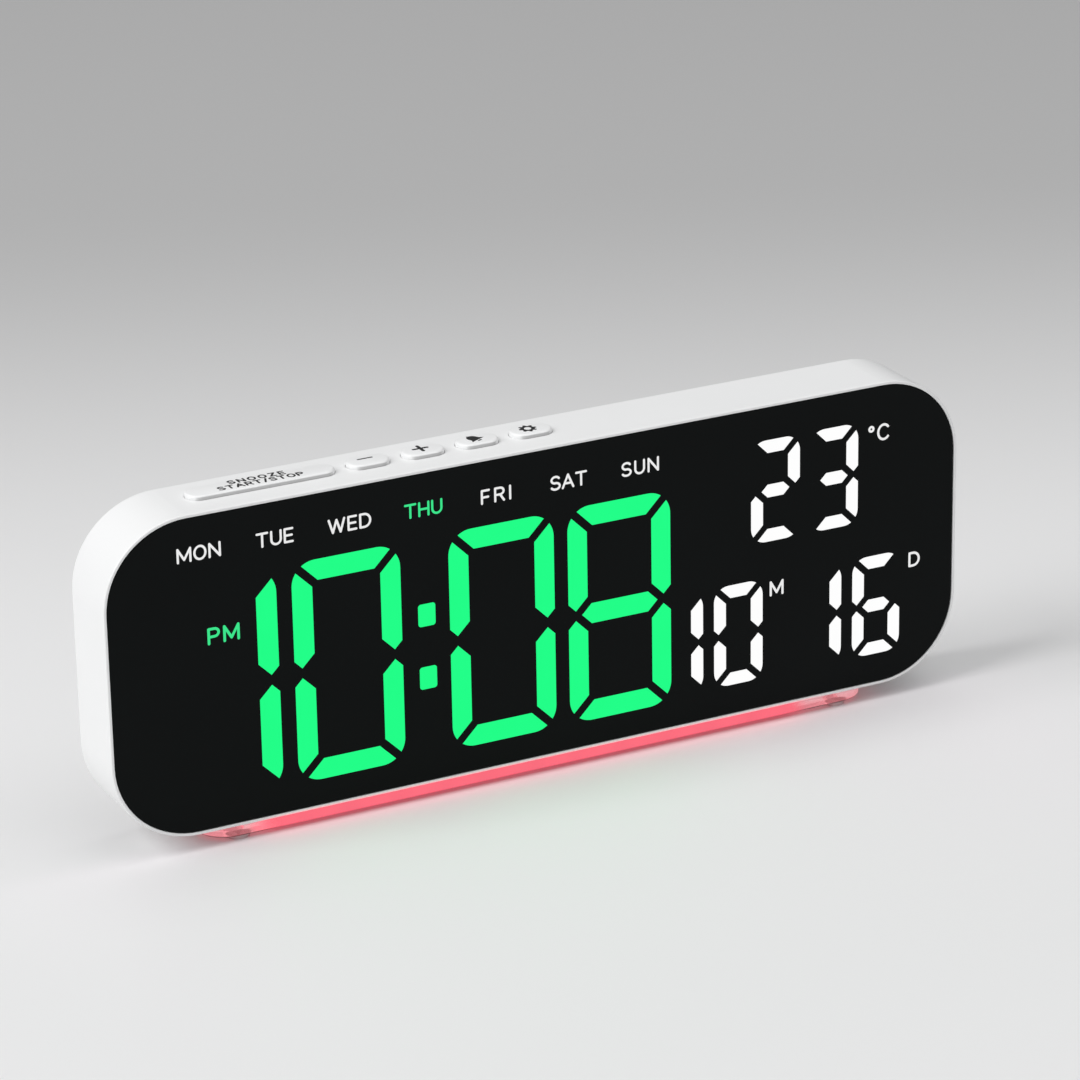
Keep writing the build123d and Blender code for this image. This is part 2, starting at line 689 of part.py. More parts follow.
# Back cover with the cell bay, the door seat, the inlet dish, the vents and the sound holes
with BuildPart() as back_cover:
    with BuildSketch(depth_plane(COVER_FRONT)):
        RectangleRounded(ROOM_W - 2 * COVER_GAP, ROOM_H - 2 * COVER_GAP, CASE_R - WALL - COVER_GAP)
    extrude(amount=-COVER_T)
    chamfer(back_cover.faces().sort_by(Axis.Y)[-1].edges(), COVER_BEVEL)
    with BuildSketch(depth_plane(BAY_FRONT)):
        with Locations(board_place(BAY_SHARES)):
            Circle(BAY_R + BAY_WALL)
    extrude(amount=-(COVER_FRONT - BAY_FRONT))
    with BuildSketch(depth_plane(BAY_FLOOR_BACK)):
        with Locations(board_place(BAY_SHARES)):
            Circle(BAY_R)
    extrude(amount=-(CASE_D - BAY_FLOOR_BACK), mode=Mode.SUBTRACT)
    with BuildSketch(depth_plane(DOOR_FRONT)):
        with Locations(board_place(BAY_SHARES)):
            RectangleRounded(DOOR_W + 2 * DOOR_GAP, DOOR_W + 2 * DOOR_GAP, DOOR_R + DOOR_GAP)
    extrude(amount=-DOOR_T, mode=Mode.SUBTRACT)
    with BuildSketch(depth_plane(COVER_FRONT)):
        with Locations(board_place(BAY_SHARES)):
            with Locations(*mirrored_places(POST_X, POST_X)):
                Circle(POST_R + POST_GAP)
    extrude(amount=-COVER_T, mode=Mode.SUBTRACT)
    # Notch for a fingernail under the lower edge of the door
    with BuildSketch(depth_plane(CASE_D - NOTCH_T)):
        bay_x, bay_up = board_place(BAY_SHARES)
        with Locations((bay_x, bay_up - DOOR_W / 2 - DOOR_GAP)):
            SlotOverall(NOTCH_W, 2 * NOTCH_H)
    extrude(amount=-NOTCH_T, mode=Mode.SUBTRACT)
    # Ways for the legs of the two contacts
    with BuildSketch(depth_plane(BAY_FRONT)):
        with Locations((bay_x, bay_up)):
            Rectangle(LEG_W + 2 * LEG_GAP, CONTACT_T + 2 * LEG_GAP)
    extrude(amount=-BAY_FLOOR, mode=Mode.SUBTRACT)
    with BuildSketch(depth_plane(BAY_FRONT)):
        with Locations((bay_x, bay_up + CELL_R + (SIDE_CONTACT_T + 2 * LEG_GAP) / 2)):
            Rectangle(CONTACT_W + 2 * LEG_GAP, SIDE_CONTACT_T + 2 * LEG_GAP)
    extrude(amount=-(CELL_BACK - BAY_FRONT), mode=Mode.SUBTRACT)
    # Power inlet: a dish for the plug's grip and a close slot for the metal shell
    with BuildSketch(depth_plane(CASE_D - DISH_T)):
        with Locations(board_place(INLET_SHARES)):
            SlotOverall(INLET_W + 2 * DISH_EDGE, INLET_H + 2 * DISH_EDGE)
    extrude(amount=-DISH_T, mode=Mode.SUBTRACT)
    with BuildSketch(depth_plane(COVER_FRONT)):
        with Locations(board_place(INLET_SHARES)):
            SlotOverall(INLET_W + 2 * INLET_GAP, INLET_H + 2 * INLET_GAP)
    extrude(amount=-COVER_T, mode=Mode.SUBTRACT)
    with BuildSketch(depth_plane(COVER_FRONT)):
        with Locations(board_place(VENT_SHARES)):
            with GridLocations(0, VENT_PITCH, 1, VENTS):
                SlotOverall(VENT_L, VENT_W)
        with Locations(board_place(BUZZER_SHARES)):
            Circle(SOUND_R)
            with PolarLocations(SOUND_PITCH, SOUND_HOLES):
                Circle(SOUND_R)
        with Locations(*mirrored_places(BOSS_X, BOSS_UP)):
            Circle(SCREW_R + SCREW_GAP)
    extrude(amount=-COVER_T, mode=Mode.SUBTRACT)
    with BuildSketch(depth_plane(CASE_D - SCREW_HEAD_T)):
        with Locations(*mirrored_places(BOSS_X, BOSS_UP)):
            Circle(SCREW_HEAD_R + SCREW_HEAD_GAP)
    extrude(amount=-SCREW_HEAD_T, mode=Mode.SUBTRACT)
save(back_cover, "back_cover")

with BuildPart() as cover_screws:
    with BuildSketch(depth_plane(CASE_D)):
        with Locations(*mirrored_places(BOSS_X, BOSS_UP)):
            Circle(SCREW_HEAD_R)
    extrude(amount=SCREW_HEAD_T)
    with BuildSketch(depth_plane(CASE_D - SCREW_HEAD_T)):
        with Locations(*mirrored_places(BOSS_X, BOSS_UP)):
            Circle(SCREW_R)
    extrude(amount=COVER_SCREW_L)
save(cover_screws, "cover_screws")

# Power inlet: a metal shell on a block, with the tongue of contacts inside it
with BuildPart() as power_inlet:
    with BuildSketch(depth_plane(BOARD_BACK)):
        with Locations(board_place(INLET_SHARES)):
            SlotOverall(INLET_W, INLET_H)
    extrude(amount=-(CASE_D - INLET_INSET - BOARD_BACK))
    with BuildSketch(depth_plane(BOARD_BACK + INLET_BASE)):
        with Locations(board_place(INLET_SHARES)):
            SlotOverall(INLET_W - 2 * INLET_SHELL, INLET_H - 2 * INLET_SHELL)
    extrude(amount=-(CASE_D - INLET_INSET - BOARD_BACK - INLET_BASE), mode=Mode.SUBTRACT)
save(power_inlet, "power_inlet")

with BuildPart() as inlet_tongue:
    with BuildSketch(depth_plane(BOARD_BACK + INLET_BASE)):
        with Locations(board_place(INLET_SHARES)):
            Rectangle(TONGUE_W, TONGUE_T)
    extrude(amount=-(CASE_D - INLET_INSET - TONGUE_INSET - BOARD_BACK - INLET_BASE))
save(inlet_tongue, "inlet_tongue")

with BuildPart() as backup_cell:
    with BuildSketch(depth_plane(CELL_BACK)):
        with Locations(board_place(BAY_SHARES)):
            Circle(CELL_R)
    extrude(amount=CELL_T - CELL_STEP_T)
    with BuildSketch(depth_plane(CELL_FRONT)):
        with Locations(board_place(BAY_SHARES)):
            Circle(CELL_STEP_R)
    extrude(amount=-CELL_STEP_T)
save(backup_cell, "backup_cell")

# Contacts: one lies on the bay's floor, one stands beside the cell, and both reach the board
with BuildPart() as floor_contact:
    with BuildSketch(depth_plane(BAY_FLOOR_BACK)):
        with Locations((bay_x, bay_up)):
            Rectangle(CONTACT_L, CONTACT_W)
    extrude(amount=-CONTACT_T)
    with BuildSketch(depth_plane(BOARD_BACK)):
        with Locations((bay_x, bay_up)):
            Rectangle(LEG_W, CONTACT_T)
    extrude(amount=-(BAY_FLOOR_BACK - BOARD_BACK))
save(floor_contact, "floor_contact")

with BuildPart() as side_contact:
    with BuildSketch(depth_plane(BOARD_BACK)):
        with Locations((bay_x, bay_up + CELL_R + LEG_GAP + SIDE_CONTACT_T / 2)):
            Rectangle(CONTACT_W, SIDE_CONTACT_T)
    extrude(amount=-(CELL_BACK - SIDE_CONTACT_REST - BOARD_BACK))
save(side_contact, "side_contact")

# Door of the cell bay, with four posts that snap into the cover
with BuildPart() as battery_door:
    with BuildSketch(depth_plane(DOOR_FRONT)):
        with Locations((bay_x, bay_up)):
            RectangleRounded(DOOR_W, DOOR_W, DOOR_R)
    extrude(amount=-DOOR_T)
    chamfer(battery_door.faces().sort_by(Axis.Y)[-1].edges(), COVER_BEVEL)
    with BuildSketch(depth_plane(DOOR_FRONT)):
        with Locations((bay_x, bay_up)):
            with Locations(*mirrored_places(POST_X, POST_X)):
                Circle(POST_R)
    extrude(amount=POST_L)
save(battery_door, "battery_door")

# Light strip over the plate, its chips and the ribbon that joins it to the main board
with BuildPart() as glow_board:
    with BuildSketch(flat_plane(STRIP_LOW, PLATE_DEPTH)):
        Rectangle(STRIP_L, STRIP_D)
    extrude(amount=STRIP_T)
save(glow_board, "glow_board")

with BuildPart() as glow_chips:
    with BuildSketch(flat_plane(STRIP_LOW, PLATE_DEPTH)):
        with GridLocations(RIB_L / STRIP_LEDS, 0, STRIP_LEDS, 1):
            Rectangle(STRIP_LED_L, STRIP_LED_W)
    extrude(amount=-STRIP_LED_T)
save(glow_chips, "glow_chips")

with BuildPart() as glow_link:
    with BuildSketch(flat_plane(STRIP_LOW + STRIP_T, BOARD_BACK + LINK_T / 2)):
        Rectangle(LINK_W, LINK_T)
    extrude(amount=LINK_H)
save(glow_link, "glow_link")

# Lit plate with its rib, held by two countersunk screws
with BuildPart() as light_plate:
    with BuildSketch(flat_plane(PLATE_LOW, PLATE_DEPTH)):
        SlotOverall(PLATE_L, PLATE_D)
    extrude(amount=PLATE_T)
    chamfer(light_plate.faces().sort_by(Axis.Z)[0].edges(), PLATE_BEVEL)
    with BuildSketch(flat_plane(CASE_LOW, PLATE_DEPTH)):
        SlotOverall(RIB_L, RIB_W)
    extrude(amount=RIB_RISE)
    with Locations((PLATE_SCREW_X, PLATE_DEPTH - CASE_D / 2, PLATE_LOW),
                   (-PLATE_SCREW_X, PLATE_DEPTH - CASE_D / 2, PLATE_LOW)):
        Cylinder(SCREW_R + SCREW_GAP, PLATE_T, align=(Align.CENTER, Align.CENTER, Align.MIN),
                 mode=Mode.SUBTRACT)
        Cone(SCREW_HEAD_R + SCREW_GAP, SCREW_R + SCREW_GAP, SCREW_HEAD_R - SCREW_R,
             align=(Align.CENTER, Align.CENTER, Align.MIN), mode=Mode.SUBTRACT)
save(light_plate, "light_plate")

with BuildPart() as plate_screws:
    with Locations((PLATE_SCREW_X, PLATE_DEPTH - CASE_D / 2, PLATE_LOW),
                   (-PLATE_SCREW_X, PLATE_DEPTH - CASE_D / 2, PLATE_LOW)):
        Cone(SCREW_HEAD_R, SCREW_R, SCREW_HEAD_R - SCREW_R,
             align=(Align.CENTER, Align.CENTER, Align.MIN))
        Cylinder(SCREW_R, PLATE_SCREW_L, align=(Align.CENTER, Align.CENTER, Align.MIN))
save(plate_screws, "plate_screws")

with BuildPart() as feet:
    with BuildSketch(flat_plane(0, PLATE_DEPTH)):
        with Locations(*mirrored_places(PLATE_SCREW_X, FOOT_SHIFT)):
            Circle(FOOT_R)
    extrude(amount=FOOT_T)
save(feet, "feet")
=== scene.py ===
"""Looks of the digital LED desk clock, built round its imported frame. Metres, in its own axes."""

import logging
import math
from dataclasses import dataclass, field
from enum import Enum
from typing import Any, Callable, Iterable, Sequence

import bmesh
import bpy
from mathutils import Matrix, Vector


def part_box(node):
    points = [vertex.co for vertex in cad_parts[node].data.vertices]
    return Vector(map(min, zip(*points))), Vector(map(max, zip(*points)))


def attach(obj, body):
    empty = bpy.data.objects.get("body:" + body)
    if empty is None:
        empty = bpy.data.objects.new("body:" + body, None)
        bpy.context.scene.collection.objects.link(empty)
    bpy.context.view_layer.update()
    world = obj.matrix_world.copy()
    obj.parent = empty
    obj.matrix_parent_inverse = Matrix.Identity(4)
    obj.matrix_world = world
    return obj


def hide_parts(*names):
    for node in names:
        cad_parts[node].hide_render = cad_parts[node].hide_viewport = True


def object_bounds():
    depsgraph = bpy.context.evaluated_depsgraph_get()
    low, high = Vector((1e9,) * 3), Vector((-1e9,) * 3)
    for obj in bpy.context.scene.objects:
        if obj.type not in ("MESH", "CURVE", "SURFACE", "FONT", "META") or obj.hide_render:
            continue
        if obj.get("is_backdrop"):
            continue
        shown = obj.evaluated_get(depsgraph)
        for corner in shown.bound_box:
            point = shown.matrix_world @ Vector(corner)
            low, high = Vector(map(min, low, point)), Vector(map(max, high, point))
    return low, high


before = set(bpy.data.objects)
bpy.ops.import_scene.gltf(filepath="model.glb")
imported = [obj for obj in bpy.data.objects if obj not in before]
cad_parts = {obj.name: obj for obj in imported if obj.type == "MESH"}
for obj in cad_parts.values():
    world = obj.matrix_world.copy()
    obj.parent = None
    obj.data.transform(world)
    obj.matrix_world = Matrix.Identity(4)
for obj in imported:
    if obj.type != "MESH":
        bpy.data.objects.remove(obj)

log = logging.getLogger("desk_clock")

MM = 0.001
PER_METRE = 1000.0
HALF = 0.5
NEAR = 0.01 * MM
"""Closer than this, two places count as the same."""
LEVEL = 0.001 * MM
"""An edge that rises less than this is level."""
FACING = 0.9
"""A face whose normal has this share along an axis looks along it."""
Triple = tuple[float, float, float]
Colour = Triple
Point = tuple[float, float]
Layer = tuple[Any, ...]
"""A noise's size, detail and stretch, as Sheet.cloud takes them."""
Range = tuple[float, float, float, float]
"""Where a change starts and ends and the results there, as Signal.between takes them."""

EVEN: Triple = (1.0, 1.0, 1.0)
BLACK: Colour = (0.0, 0.0, 0.0)


# Shader maths -------------------------------------------------------------------------------------


class Signal:
    """A number that changes over a surface: an output socket, with operators as Math nodes."""

    def __init__(self, sheet: "Sheet", socket: bpy.types.NodeSocket) -> None:
        """Keeps the sheet that the socket belongs to."""
        self.sheet = sheet
        self.socket = socket

    def _math(self, operation: str, *values: Any) -> "Signal":
        """The result of a Math node on numbers or signals."""
        node = self.sheet.node("ShaderNodeMath", {"operation": operation}, dict(enumerate(values)))
        return Signal(self.sheet, node.outputs[0])

    def __add__(self, other: Any) -> "Signal":
        """This signal plus another."""
        return self._math("ADD", self, other)

    __radd__ = __add__

    def __sub__(self, other: Any) -> "Signal":
        """This signal less another."""
        return self._math("SUBTRACT", self, other)

    def __rsub__(self, other: Any) -> "Signal":
        """Another value less this signal."""
        return self._math("SUBTRACT", other, self)

    def __mul__(self, other: Any) -> "Signal":
        """This signal times another."""
        return self._math("MULTIPLY", self, other)

    __rmul__ = __mul__

    def size(self) -> "Signal":
        """The signal without its sign."""
        return self._math("ABSOLUTE", self)

    def least(self, low: float) -> "Signal":
        """The signal, but never under a value."""
        return self._math("MAXIMUM", self, low)

    def wave(self, pitch: float) -> "Signal":
        """A wave from 0 to 1 that repeats at a pitch along the signal."""
        return self._math("SINE", self * (2 * math.pi / pitch)) * HALF + HALF

    def swing(self, amount: float) -> "Signal":
        """How far the signal is off a half, times an amount."""
        return (self - HALF) * amount

    def blend(self, other: "Signal", share: float) -> "Signal":
        """A mean of two signals, in which this one has the given share."""
        return self * share + other * (1 - share)

    def between(self, low: float, high: float, out_low: float = 0.0,
                out_high: float = 1.0) -> "Signal":
        """Maps the signal smoothly.

        Args:
            low: Where the change starts.
            high: Where it ends; it may lie below low.
            out_low: The result at low and before it.
            out_high: The result at high and past it.

        Returns:
            The mapped signal.
        """
        node = self.sheet.node(
            "ShaderNodeMapRange",
            {"interpolation_type": "SMOOTHSTEP", "clamp": True},
            {"Value": self, "From Min": low, "From Max": high, "To Min": out_low,
             "To Max": out_high},
        )
        return Signal(self.sheet, node.outputs[0])

    def fall(self, low: float, high: float) -> "Signal":
        """The signal mapped to 1 before low, 0 past high and a smooth fall between them."""
        return self.between(low, high, 1.0, 0.0)


class Sheet:
    """One material's nodes."""

    MIX_FIRST, MIX_SECOND, MIX_RESULT = 6, 7, 2
    """The colour sockets of a Mix node."""

    def __init__(self, name: str) -> None:
        """Starts an empty material.

        Args:
            name: Its name.
        """
        self.material = bpy.data.materials.new(name)
        self.material.use_nodes = True
        self.tree = self.material.node_tree
        self.tree.nodes.clear()
        self._place: bpy.types.Node | None = None

    def _feed(self, socket: bpy.types.NodeSocket, value: Any) -> None:
        """Links or sets one input socket.

        Args:
            socket: The input socket.
            value: A signal or output socket to link, or a value; a colour has no alpha.
        """
        if isinstance(value, Signal):
            value = value.socket
        if isinstance(value, bpy.types.NodeSocket):
            self.tree.links.new(value, socket)
        elif socket.type == "RGBA":
            socket.default_value = (*value, 1.0)
        else:
            socket.default_value = value

    def node(self, kind: str, settings: dict[str, Any] | None = None,
             inputs: dict[Any, Any] | None = None) -> bpy.types.Node:
        """Adds a node of any kind.

        Args:
            kind: The node's type.
            settings: Its own settings, which are set first.
            inputs: Values, signals or sockets for its input sockets, by name or number.

        Returns:
            The new node.
        """
        made = self.tree.nodes.new(kind)
        for key, value in (settings or {}).items():
            setattr(made, key, value)
        for key, value in (inputs or {}).items():
            self._feed(made.inputs[key], value)
        return made

    def spot(self, stretch: Triple = EVEN,
             centre: Triple = (0.0, 0.0, 0.0)) -> bpy.types.NodeSocket:
        """The place on the object, from a centre and scaled along each axis.

        Args:
            stretch: How many times each axis counts.
            centre: The place that becomes zero, in metres.

        Returns:
            The vector socket.
        """
        if self._place is None:
            self._place = self.node("ShaderNodeTexCoord")
        shift = tuple(-c * s for c, s in zip(centre, stretch))
        place = self._place.outputs["Object"]
        mapping = self.node("ShaderNodeMapping", {"vector_type": "POINT"},
                            {"Vector": place, "Location": shift, "Scale": stretch})
        return mapping.outputs[0]

    def axis(self, name: str, centre: float = 0.0) -> Signal:
        """How far along an axis the place is from a centre, in millimetres.

        Args:
            name: X, Y or Z.
            centre: Where the distance starts, in millimetres.

        Returns:
            The distance.
        """
        middle = tuple(centre * MM if name == letter else 0.0 for letter in "XYZ")
        place = self.spot((PER_METRE, PER_METRE, PER_METRE), middle)
        return Signal(self, self.node("ShaderNodeSeparateXYZ", None, {0: place}).outputs[name])

    def cloud(self, size: float, detail: float = 2.0, stretch: Triple = EVEN) -> Signal:
        """Soft noise round a half.

        Args:
            size: The width of its forms, in millimetres.
            detail: How many finer layers it has.
            stretch: How many times each axis counts; more makes the forms narrower along it.

        Returns:
            The noise, from about 0 to 1.
        """
        node = self.node("ShaderNodeTexNoise", {"noise_dimensions": "3D"},
                         {"Vector": self.spot(stretch), "Scale": PER_METRE / size,
                          "Detail": detail})
        return Signal(self, node.outputs["Fac"])

    def cells(self, size: float, feature: str = "F1", stretch: Triple = EVEN) -> Signal:
        """Distances within irregular cells.

        Args:
            size: The cells' width, in millimetres.
            feature: What the distance is measured to.
            stretch: How many times each axis counts.

        Returns:
            The distance, in shares of a cell.
        """
        node = self.node("ShaderNodeTexVoronoi", {"feature": feature},
                         {"Vector": self.spot(stretch), "Scale": PER_METRE / size})
        return Signal(self, node.outputs["Distance"])

    def mix(self, share: Signal, first: Any, second: Any) -> bpy.types.NodeSocket:
        """A colour between two.

        Args:
            share: The second one's share.
            first: A colour or a colour socket.
            second: A colour or a colour socket.

        Returns:
            The colour socket.
        """
        node = self.node("ShaderNodeMix", {"data_type": "RGBA"},
                         {"Factor": share, self.MIX_FIRST: first, self.MIX_SECOND: second})
        return node.outputs[self.MIX_RESULT]

    def tone(self, colour: Colour, amount: float, share: Signal) -> bpy.types.NodeSocket:
        """A colour that gets lighter over a surface.

        Args:
            colour: The middle colour.
            amount: The part of it by which it gets darker and lighter.
            share: A signal that gives the darkest at 0 and the lightest at 1.

        Returns:
            The colour socket.
        """
        low = tuple(min(1.0, c * (1 - amount)) for c in colour)
        high = tuple(min(1.0, c * (1 + amount)) for c in colour)
        return self.mix(share, low, high)

    def bump(self, height: Signal, deep: float) -> bpy.types.NodeSocket:
        """A normal bent by a height of 0 to 1 that stands for a depth in millimetres."""
        node = self.node("ShaderNodeBump", None, {"Height": height, "Distance": deep * MM})
        return node.outputs[0]

    def surface(self, **sockets: Any) -> bpy.types.Node:
        """A Principled shader, its sockets named with spaces written as underscores."""
        return self.node("ShaderNodeBsdfPrincipled", None,
                         {key.replace("_", " "): value for key, value in sockets.items()})


# Finishes, with lengths in millimetres ------------------------------------------------------------


@dataclass(frozen=True)
class Finish:
    """A finish with the name of its material."""

    name: str

    def shader(self, sheet: Sheet) -> bpy.types.Node:
        """The finish's own shader, which each kind of finish gives."""
        raise NotImplementedError

    def material(self) -> bpy.types.Material:
        """Builds the material.

        Returns:
            The material, its shader joined to the output.
        """
        sheet = Sheet(self.name)
        shader = self.shader(sheet)
        sheet.node("ShaderNodeOutputMaterial", None, {"Surface": shader.outputs[0]})
        return sheet.material


@dataclass(frozen=True)
class Moulded(Finish):
    """Moulded plastic or rubber: a fine grain, a soft mottling and slight changes of gloss."""

    colour: Colour
    roughness: float = 0.45
    grain: float = 0.30
    depth: float = 0.010
    mottle: float = 0.015
    shine: float = 0.5
    grain_detail: float = 3.0
    grain_gloss: float = 0.12
    flow: Layer = (22.0, 2.0, (1.0, 1.0, 1.6))
    flow_share: float = 0.7
    flow_gloss: float = 0.10

    def colours(self, sheet: Sheet, plain: bpy.types.NodeSocket) -> dict[str, Any]:
        """The colour sockets of the shader: here just the plain mottled colour."""
        return {"Base_Color": plain}

    def shader(self, sheet: Sheet) -> bpy.types.Node:
        """Lays the finish down.

        Args:
            sheet: The material's nodes.

        Returns:
            The shader.
        """
        grain = sheet.cloud(self.grain, self.grain_detail)
        flow = sheet.cloud(*self.flow)
        plain = sheet.tone(self.colour, self.mottle, flow.blend(grain, self.flow_share))
        return sheet.surface(
            **self.colours(sheet, plain),
            Roughness=flow.swing(self.flow_gloss) + grain.swing(self.grain_gloss) + self.roughness,
            Normal=sheet.bump(grain, self.depth),
            Specular_IOR_Level=self.shine,
        )


@dataclass(frozen=True)
class Shell(Moulded):
    """The case's moulded plastic, with painted light on its lower front rim: a pink tint and a glow
    from the lit plate below.
    """

    # Painted light on the lower front rim: the pink tint of its colour and its glow.
    painted_rim_tint: Colour = (0.86, 0.74, 0.75)
    painted_rim_glow: Colour = (0.34, 0.05, 0.06)
    rim: Point = (3.6, 3.9)
    reach: Point = (57.0, 63.0)
    front: Point = (-7.2, -7.5)

    def colours(self, sheet: Sheet, plain: bpy.types.NodeSocket) -> dict[str, Any]:
        """Paints a pink tint and a glow, painted light from the lit plate, on the lower front rim.

        Args:
            sheet: The material's nodes.
            plain: The plain mottled colour.

        Returns:
            The colour sockets of the shader.
        """
        # Painted light: the lower front rim above the lit plate is tinted pink and glows.
        near = (sheet.axis("Z").fall(*self.rim) * sheet.axis("Y").between(*self.front)
                * sheet.axis("X").size().fall(*self.reach))
        return {"Base_Color": sheet.mix(near, plain, self.painted_rim_tint),
                "Emission_Color": sheet.mix(near, BLACK, self.painted_rim_glow),
                "Emission_Strength": 1.0}


@dataclass(frozen=True)
class Cap(Moulded):
    """The keys' moulded plastic, with painted shade down their front sides, where they go into the
    case.
    """

    # Painted shade low on the keys' front sides: its colour, its heights and its depth.
    painted_front_shade: Colour = (0.58, 0.58, 0.58)
    seam: Point = (67.9, 68.1)
    front: Point = (-1.9, -2.4)

    def colours(self, sheet: Sheet, plain: bpy.types.NodeSocket) -> dict[str, Any]:
        """The colour sockets of the shader, darkened low on the front by painted shade."""
        # Painted shade: the base colour darkens low on each key's front side.
        low = sheet.axis("Z").fall(*self.seam) * sheet.axis("Y").between(*self.front)
        return {"Base_Color": sheet.mix(low, plain, self.painted_front_shade)}


@dataclass(frozen=True)
class SmokedLens(Finish):
    """Smoked, hard-coated lens: near black, with faint haze and a few fine swirls in its gloss."""

    name: str = "smoked_lens"
    colour: Colour = (0.0028, 0.0038, 0.0038)
    mottle: float = 0.22
    roughness: float = 0.10
    shine: float = 0.07
    depth: float = 0.004
    haze: float = 38.0
    haze_gloss: Range = (0.3, 0.7, 0.0, 0.05)
    swirl: Layer = (3.0, 4.0, (1.0, 1.0, 6.0))
    swirl_gloss: Range = (0.45, 0.75, 0.0, 0.03)

    def shader(self, sheet: Sheet) -> bpy.types.Node:
        """Lays the finish down.

        Args:
            sheet: The material's nodes.

        Returns:
            The shader.
        """
        haze = sheet.cloud(self.haze)
        swirl = sheet.cloud(*self.swirl)
        return sheet.surface(
            Base_Color=sheet.tone(self.colour, self.mottle, haze),
            Roughness=(haze.between(*self.haze_gloss) + swirl.between(*self.swirl_gloss)
                       + self.roughness),
            Normal=sheet.bump(haze, self.depth),
            Specular_IOR_Level=self.shine,
        )


@dataclass(frozen=True)
class Lit(Finish):
    """A lit bar or letter: even light with a soft fall towards dim spots between the chips."""

    colour: Colour
    spread: float = 0.04
    pool: Layer = (9.0, 1.0)
    pool_share: float = 0.8
    frost: float = 0.5
    frost_gloss: float = 0.2
    roughness: float = 0.5
    unlit_share: float = 0.01
    unlit_mottle: float = 0.3
    shine: float = 0.03

    def shader(self, sheet: Sheet) -> bpy.types.Node:
        """Lays the finish down.

        Args:
            sheet: The material's nodes.

        Returns:
            The shader.
        """
        pool = sheet.cloud(*self.pool)
        frost = sheet.cloud(self.frost)
        unlit = tuple(self.unlit_share * c for c in self.colour)
        return sheet.surface(
            Base_Color=sheet.tone(unlit, self.unlit_mottle, frost),
            Roughness=frost * self.frost_gloss + self.roughness,
            Specular_IOR_Level=self.shine,
            Emission_Color=sheet.tone(self.colour, self.spread, pool.blend(frost, self.pool_share)),
            Emission_Strength=1.0,
        )


@dataclass(frozen=True)
class Ink(Finish):
    """Printed ink with a slightly uneven coat."""

    name: str = "legend_ink"
    colour: Colour = (0.006, 0.006, 0.0065)
    mottle: float = 0.5
    coat: Layer = (0.35, 3.0)
    coat_gloss: float = 0.25
    roughness: float = 0.35
    depth: float = 0.004

    def shader(self, sheet: Sheet) -> bpy.types.Node:
        """Lays the finish down.

        Args:
            sheet: The material's nodes.

        Returns:
            The shader.
        """
        coat = sheet.cloud(*self.coat)
        return sheet.surface(
            Base_Color=sheet.tone(self.colour, self.mottle, coat),
            Roughness=coat * self.coat_gloss + self.roughness,
            Normal=sheet.bump(coat, self.depth),
        )


@dataclass(frozen=True)
class LitAcrylic(Finish):
    """Clear acrylic that glows between its two ends, with soft pools over the chips.

    The glow reaches equally far to both sides of its middle and is dimmer along its lower edge, a
    painted shade. The clear ends have a faint painted glow, and a dark line of painted shade low on
    their rim, outside a circle round each end's middle; the border is that circle's radius squared.
    """

    name: str = "lit_acrylic"
    glow: Colour = (0.83, 0.122, 0.172)
    glow_mottle: float = 0.05
    body: Colour = (0.20, 0.02, 0.03)
    body_mottle: float = 0.1
    clear: Colour = (0.96, 0.76, 0.78)
    clear_mottle: float = 0.02
    # The clear ends' faint painted glow, then the painted shade line low on their rim.
    haze: Colour = (0.16, 0.055, 0.062)
    haze_mottle: float = 0.1
    line: Colour = (0.06, 0.03, 0.03)
    middle: float = -1.4
    reach: float = 57.1
    fade: float = 2.6
    chip_pitch: float = 9.67
    # Where the glow dims along the lower edge as painted shade, and by how much.
    edge: Point = (0.85, 1.25)
    edge_share: float = 0.60
    end: Point = (65.75, -0.5)
    border: Point = (37.0, 39.5)
    lip: Point = (1.05, 1.15)
    swirl: float = 6.0
    scuff: Layer = (0.8, 4.0, (0.4, 1.0, 1.0))
    lit_gloss: Point = (0.15, 0.12)
    clear_gloss: float = 0.06
    ior: float = 1.49

    def shader(self, sheet: Sheet) -> bpy.types.Node:
        """Lays the finish down.

        Args:
            sheet: The material's nodes.

        Returns:
            The shader.
        """
        along = sheet.axis("X", self.middle)
        swirl = sheet.cloud(self.swirl)
        scuff = sheet.cloud(*self.scuff)
        pools = along.wave(self.chip_pitch).blend(swirl, HALF)
        # Painted shade: the glow dims along the plate's lower edge.
        dim = tuple(self.edge_share * c for c in self.glow)
        lit = sheet.surface(
            Base_Color=sheet.tone(self.body, self.body_mottle, swirl),
            Roughness=scuff * self.lit_gloss[0] + self.lit_gloss[1],
            Emission_Color=sheet.mix(sheet.axis("Z").between(*self.edge), dim,
                                     sheet.tone(self.glow, self.glow_mottle, pools)),
            Emission_Strength=1.0,
        )
        # Painted shade: a dark line low on the clear ends' rim.
        past = (sheet.axis("X").size() - self.end[0]).least(0.0)
        deep = sheet.axis("Y", self.end[1])
        line = ((past * past + deep * deep).between(*self.border)
                * sheet.axis("Z").fall(*self.lip))
        # The clear ends carry a faint painted glow.
        clear = sheet.surface(
            Base_Color=sheet.mix(line, sheet.tone(self.clear, self.clear_mottle, swirl), self.line),
            Roughness=scuff * self.clear_gloss,
            Transmission_Weight=1.0,
            IOR=self.ior,
            Emission_Color=sheet.mix(line, sheet.tone(self.haze, self.haze_mottle, swirl), BLACK),
            Emission_Strength=1.0,
        )
        share = along.size().between(self.reach - self.fade, self.reach + self.fade)
        return sheet.node("ShaderNodeMixShader", None,
                          {0: share, 1: lit.outputs[0], 2: clear.outputs[0]})


class Drawn(Enum):
    """The way a metal's fine lines run, as how many times each axis counts."""

    ACROSS = (0.06, 1.0, 1.0)
    UP = (1.0, 1.0, 0.06)
    DEEP = (1.0, 0.06, 1.0)
    NONE = EVEN


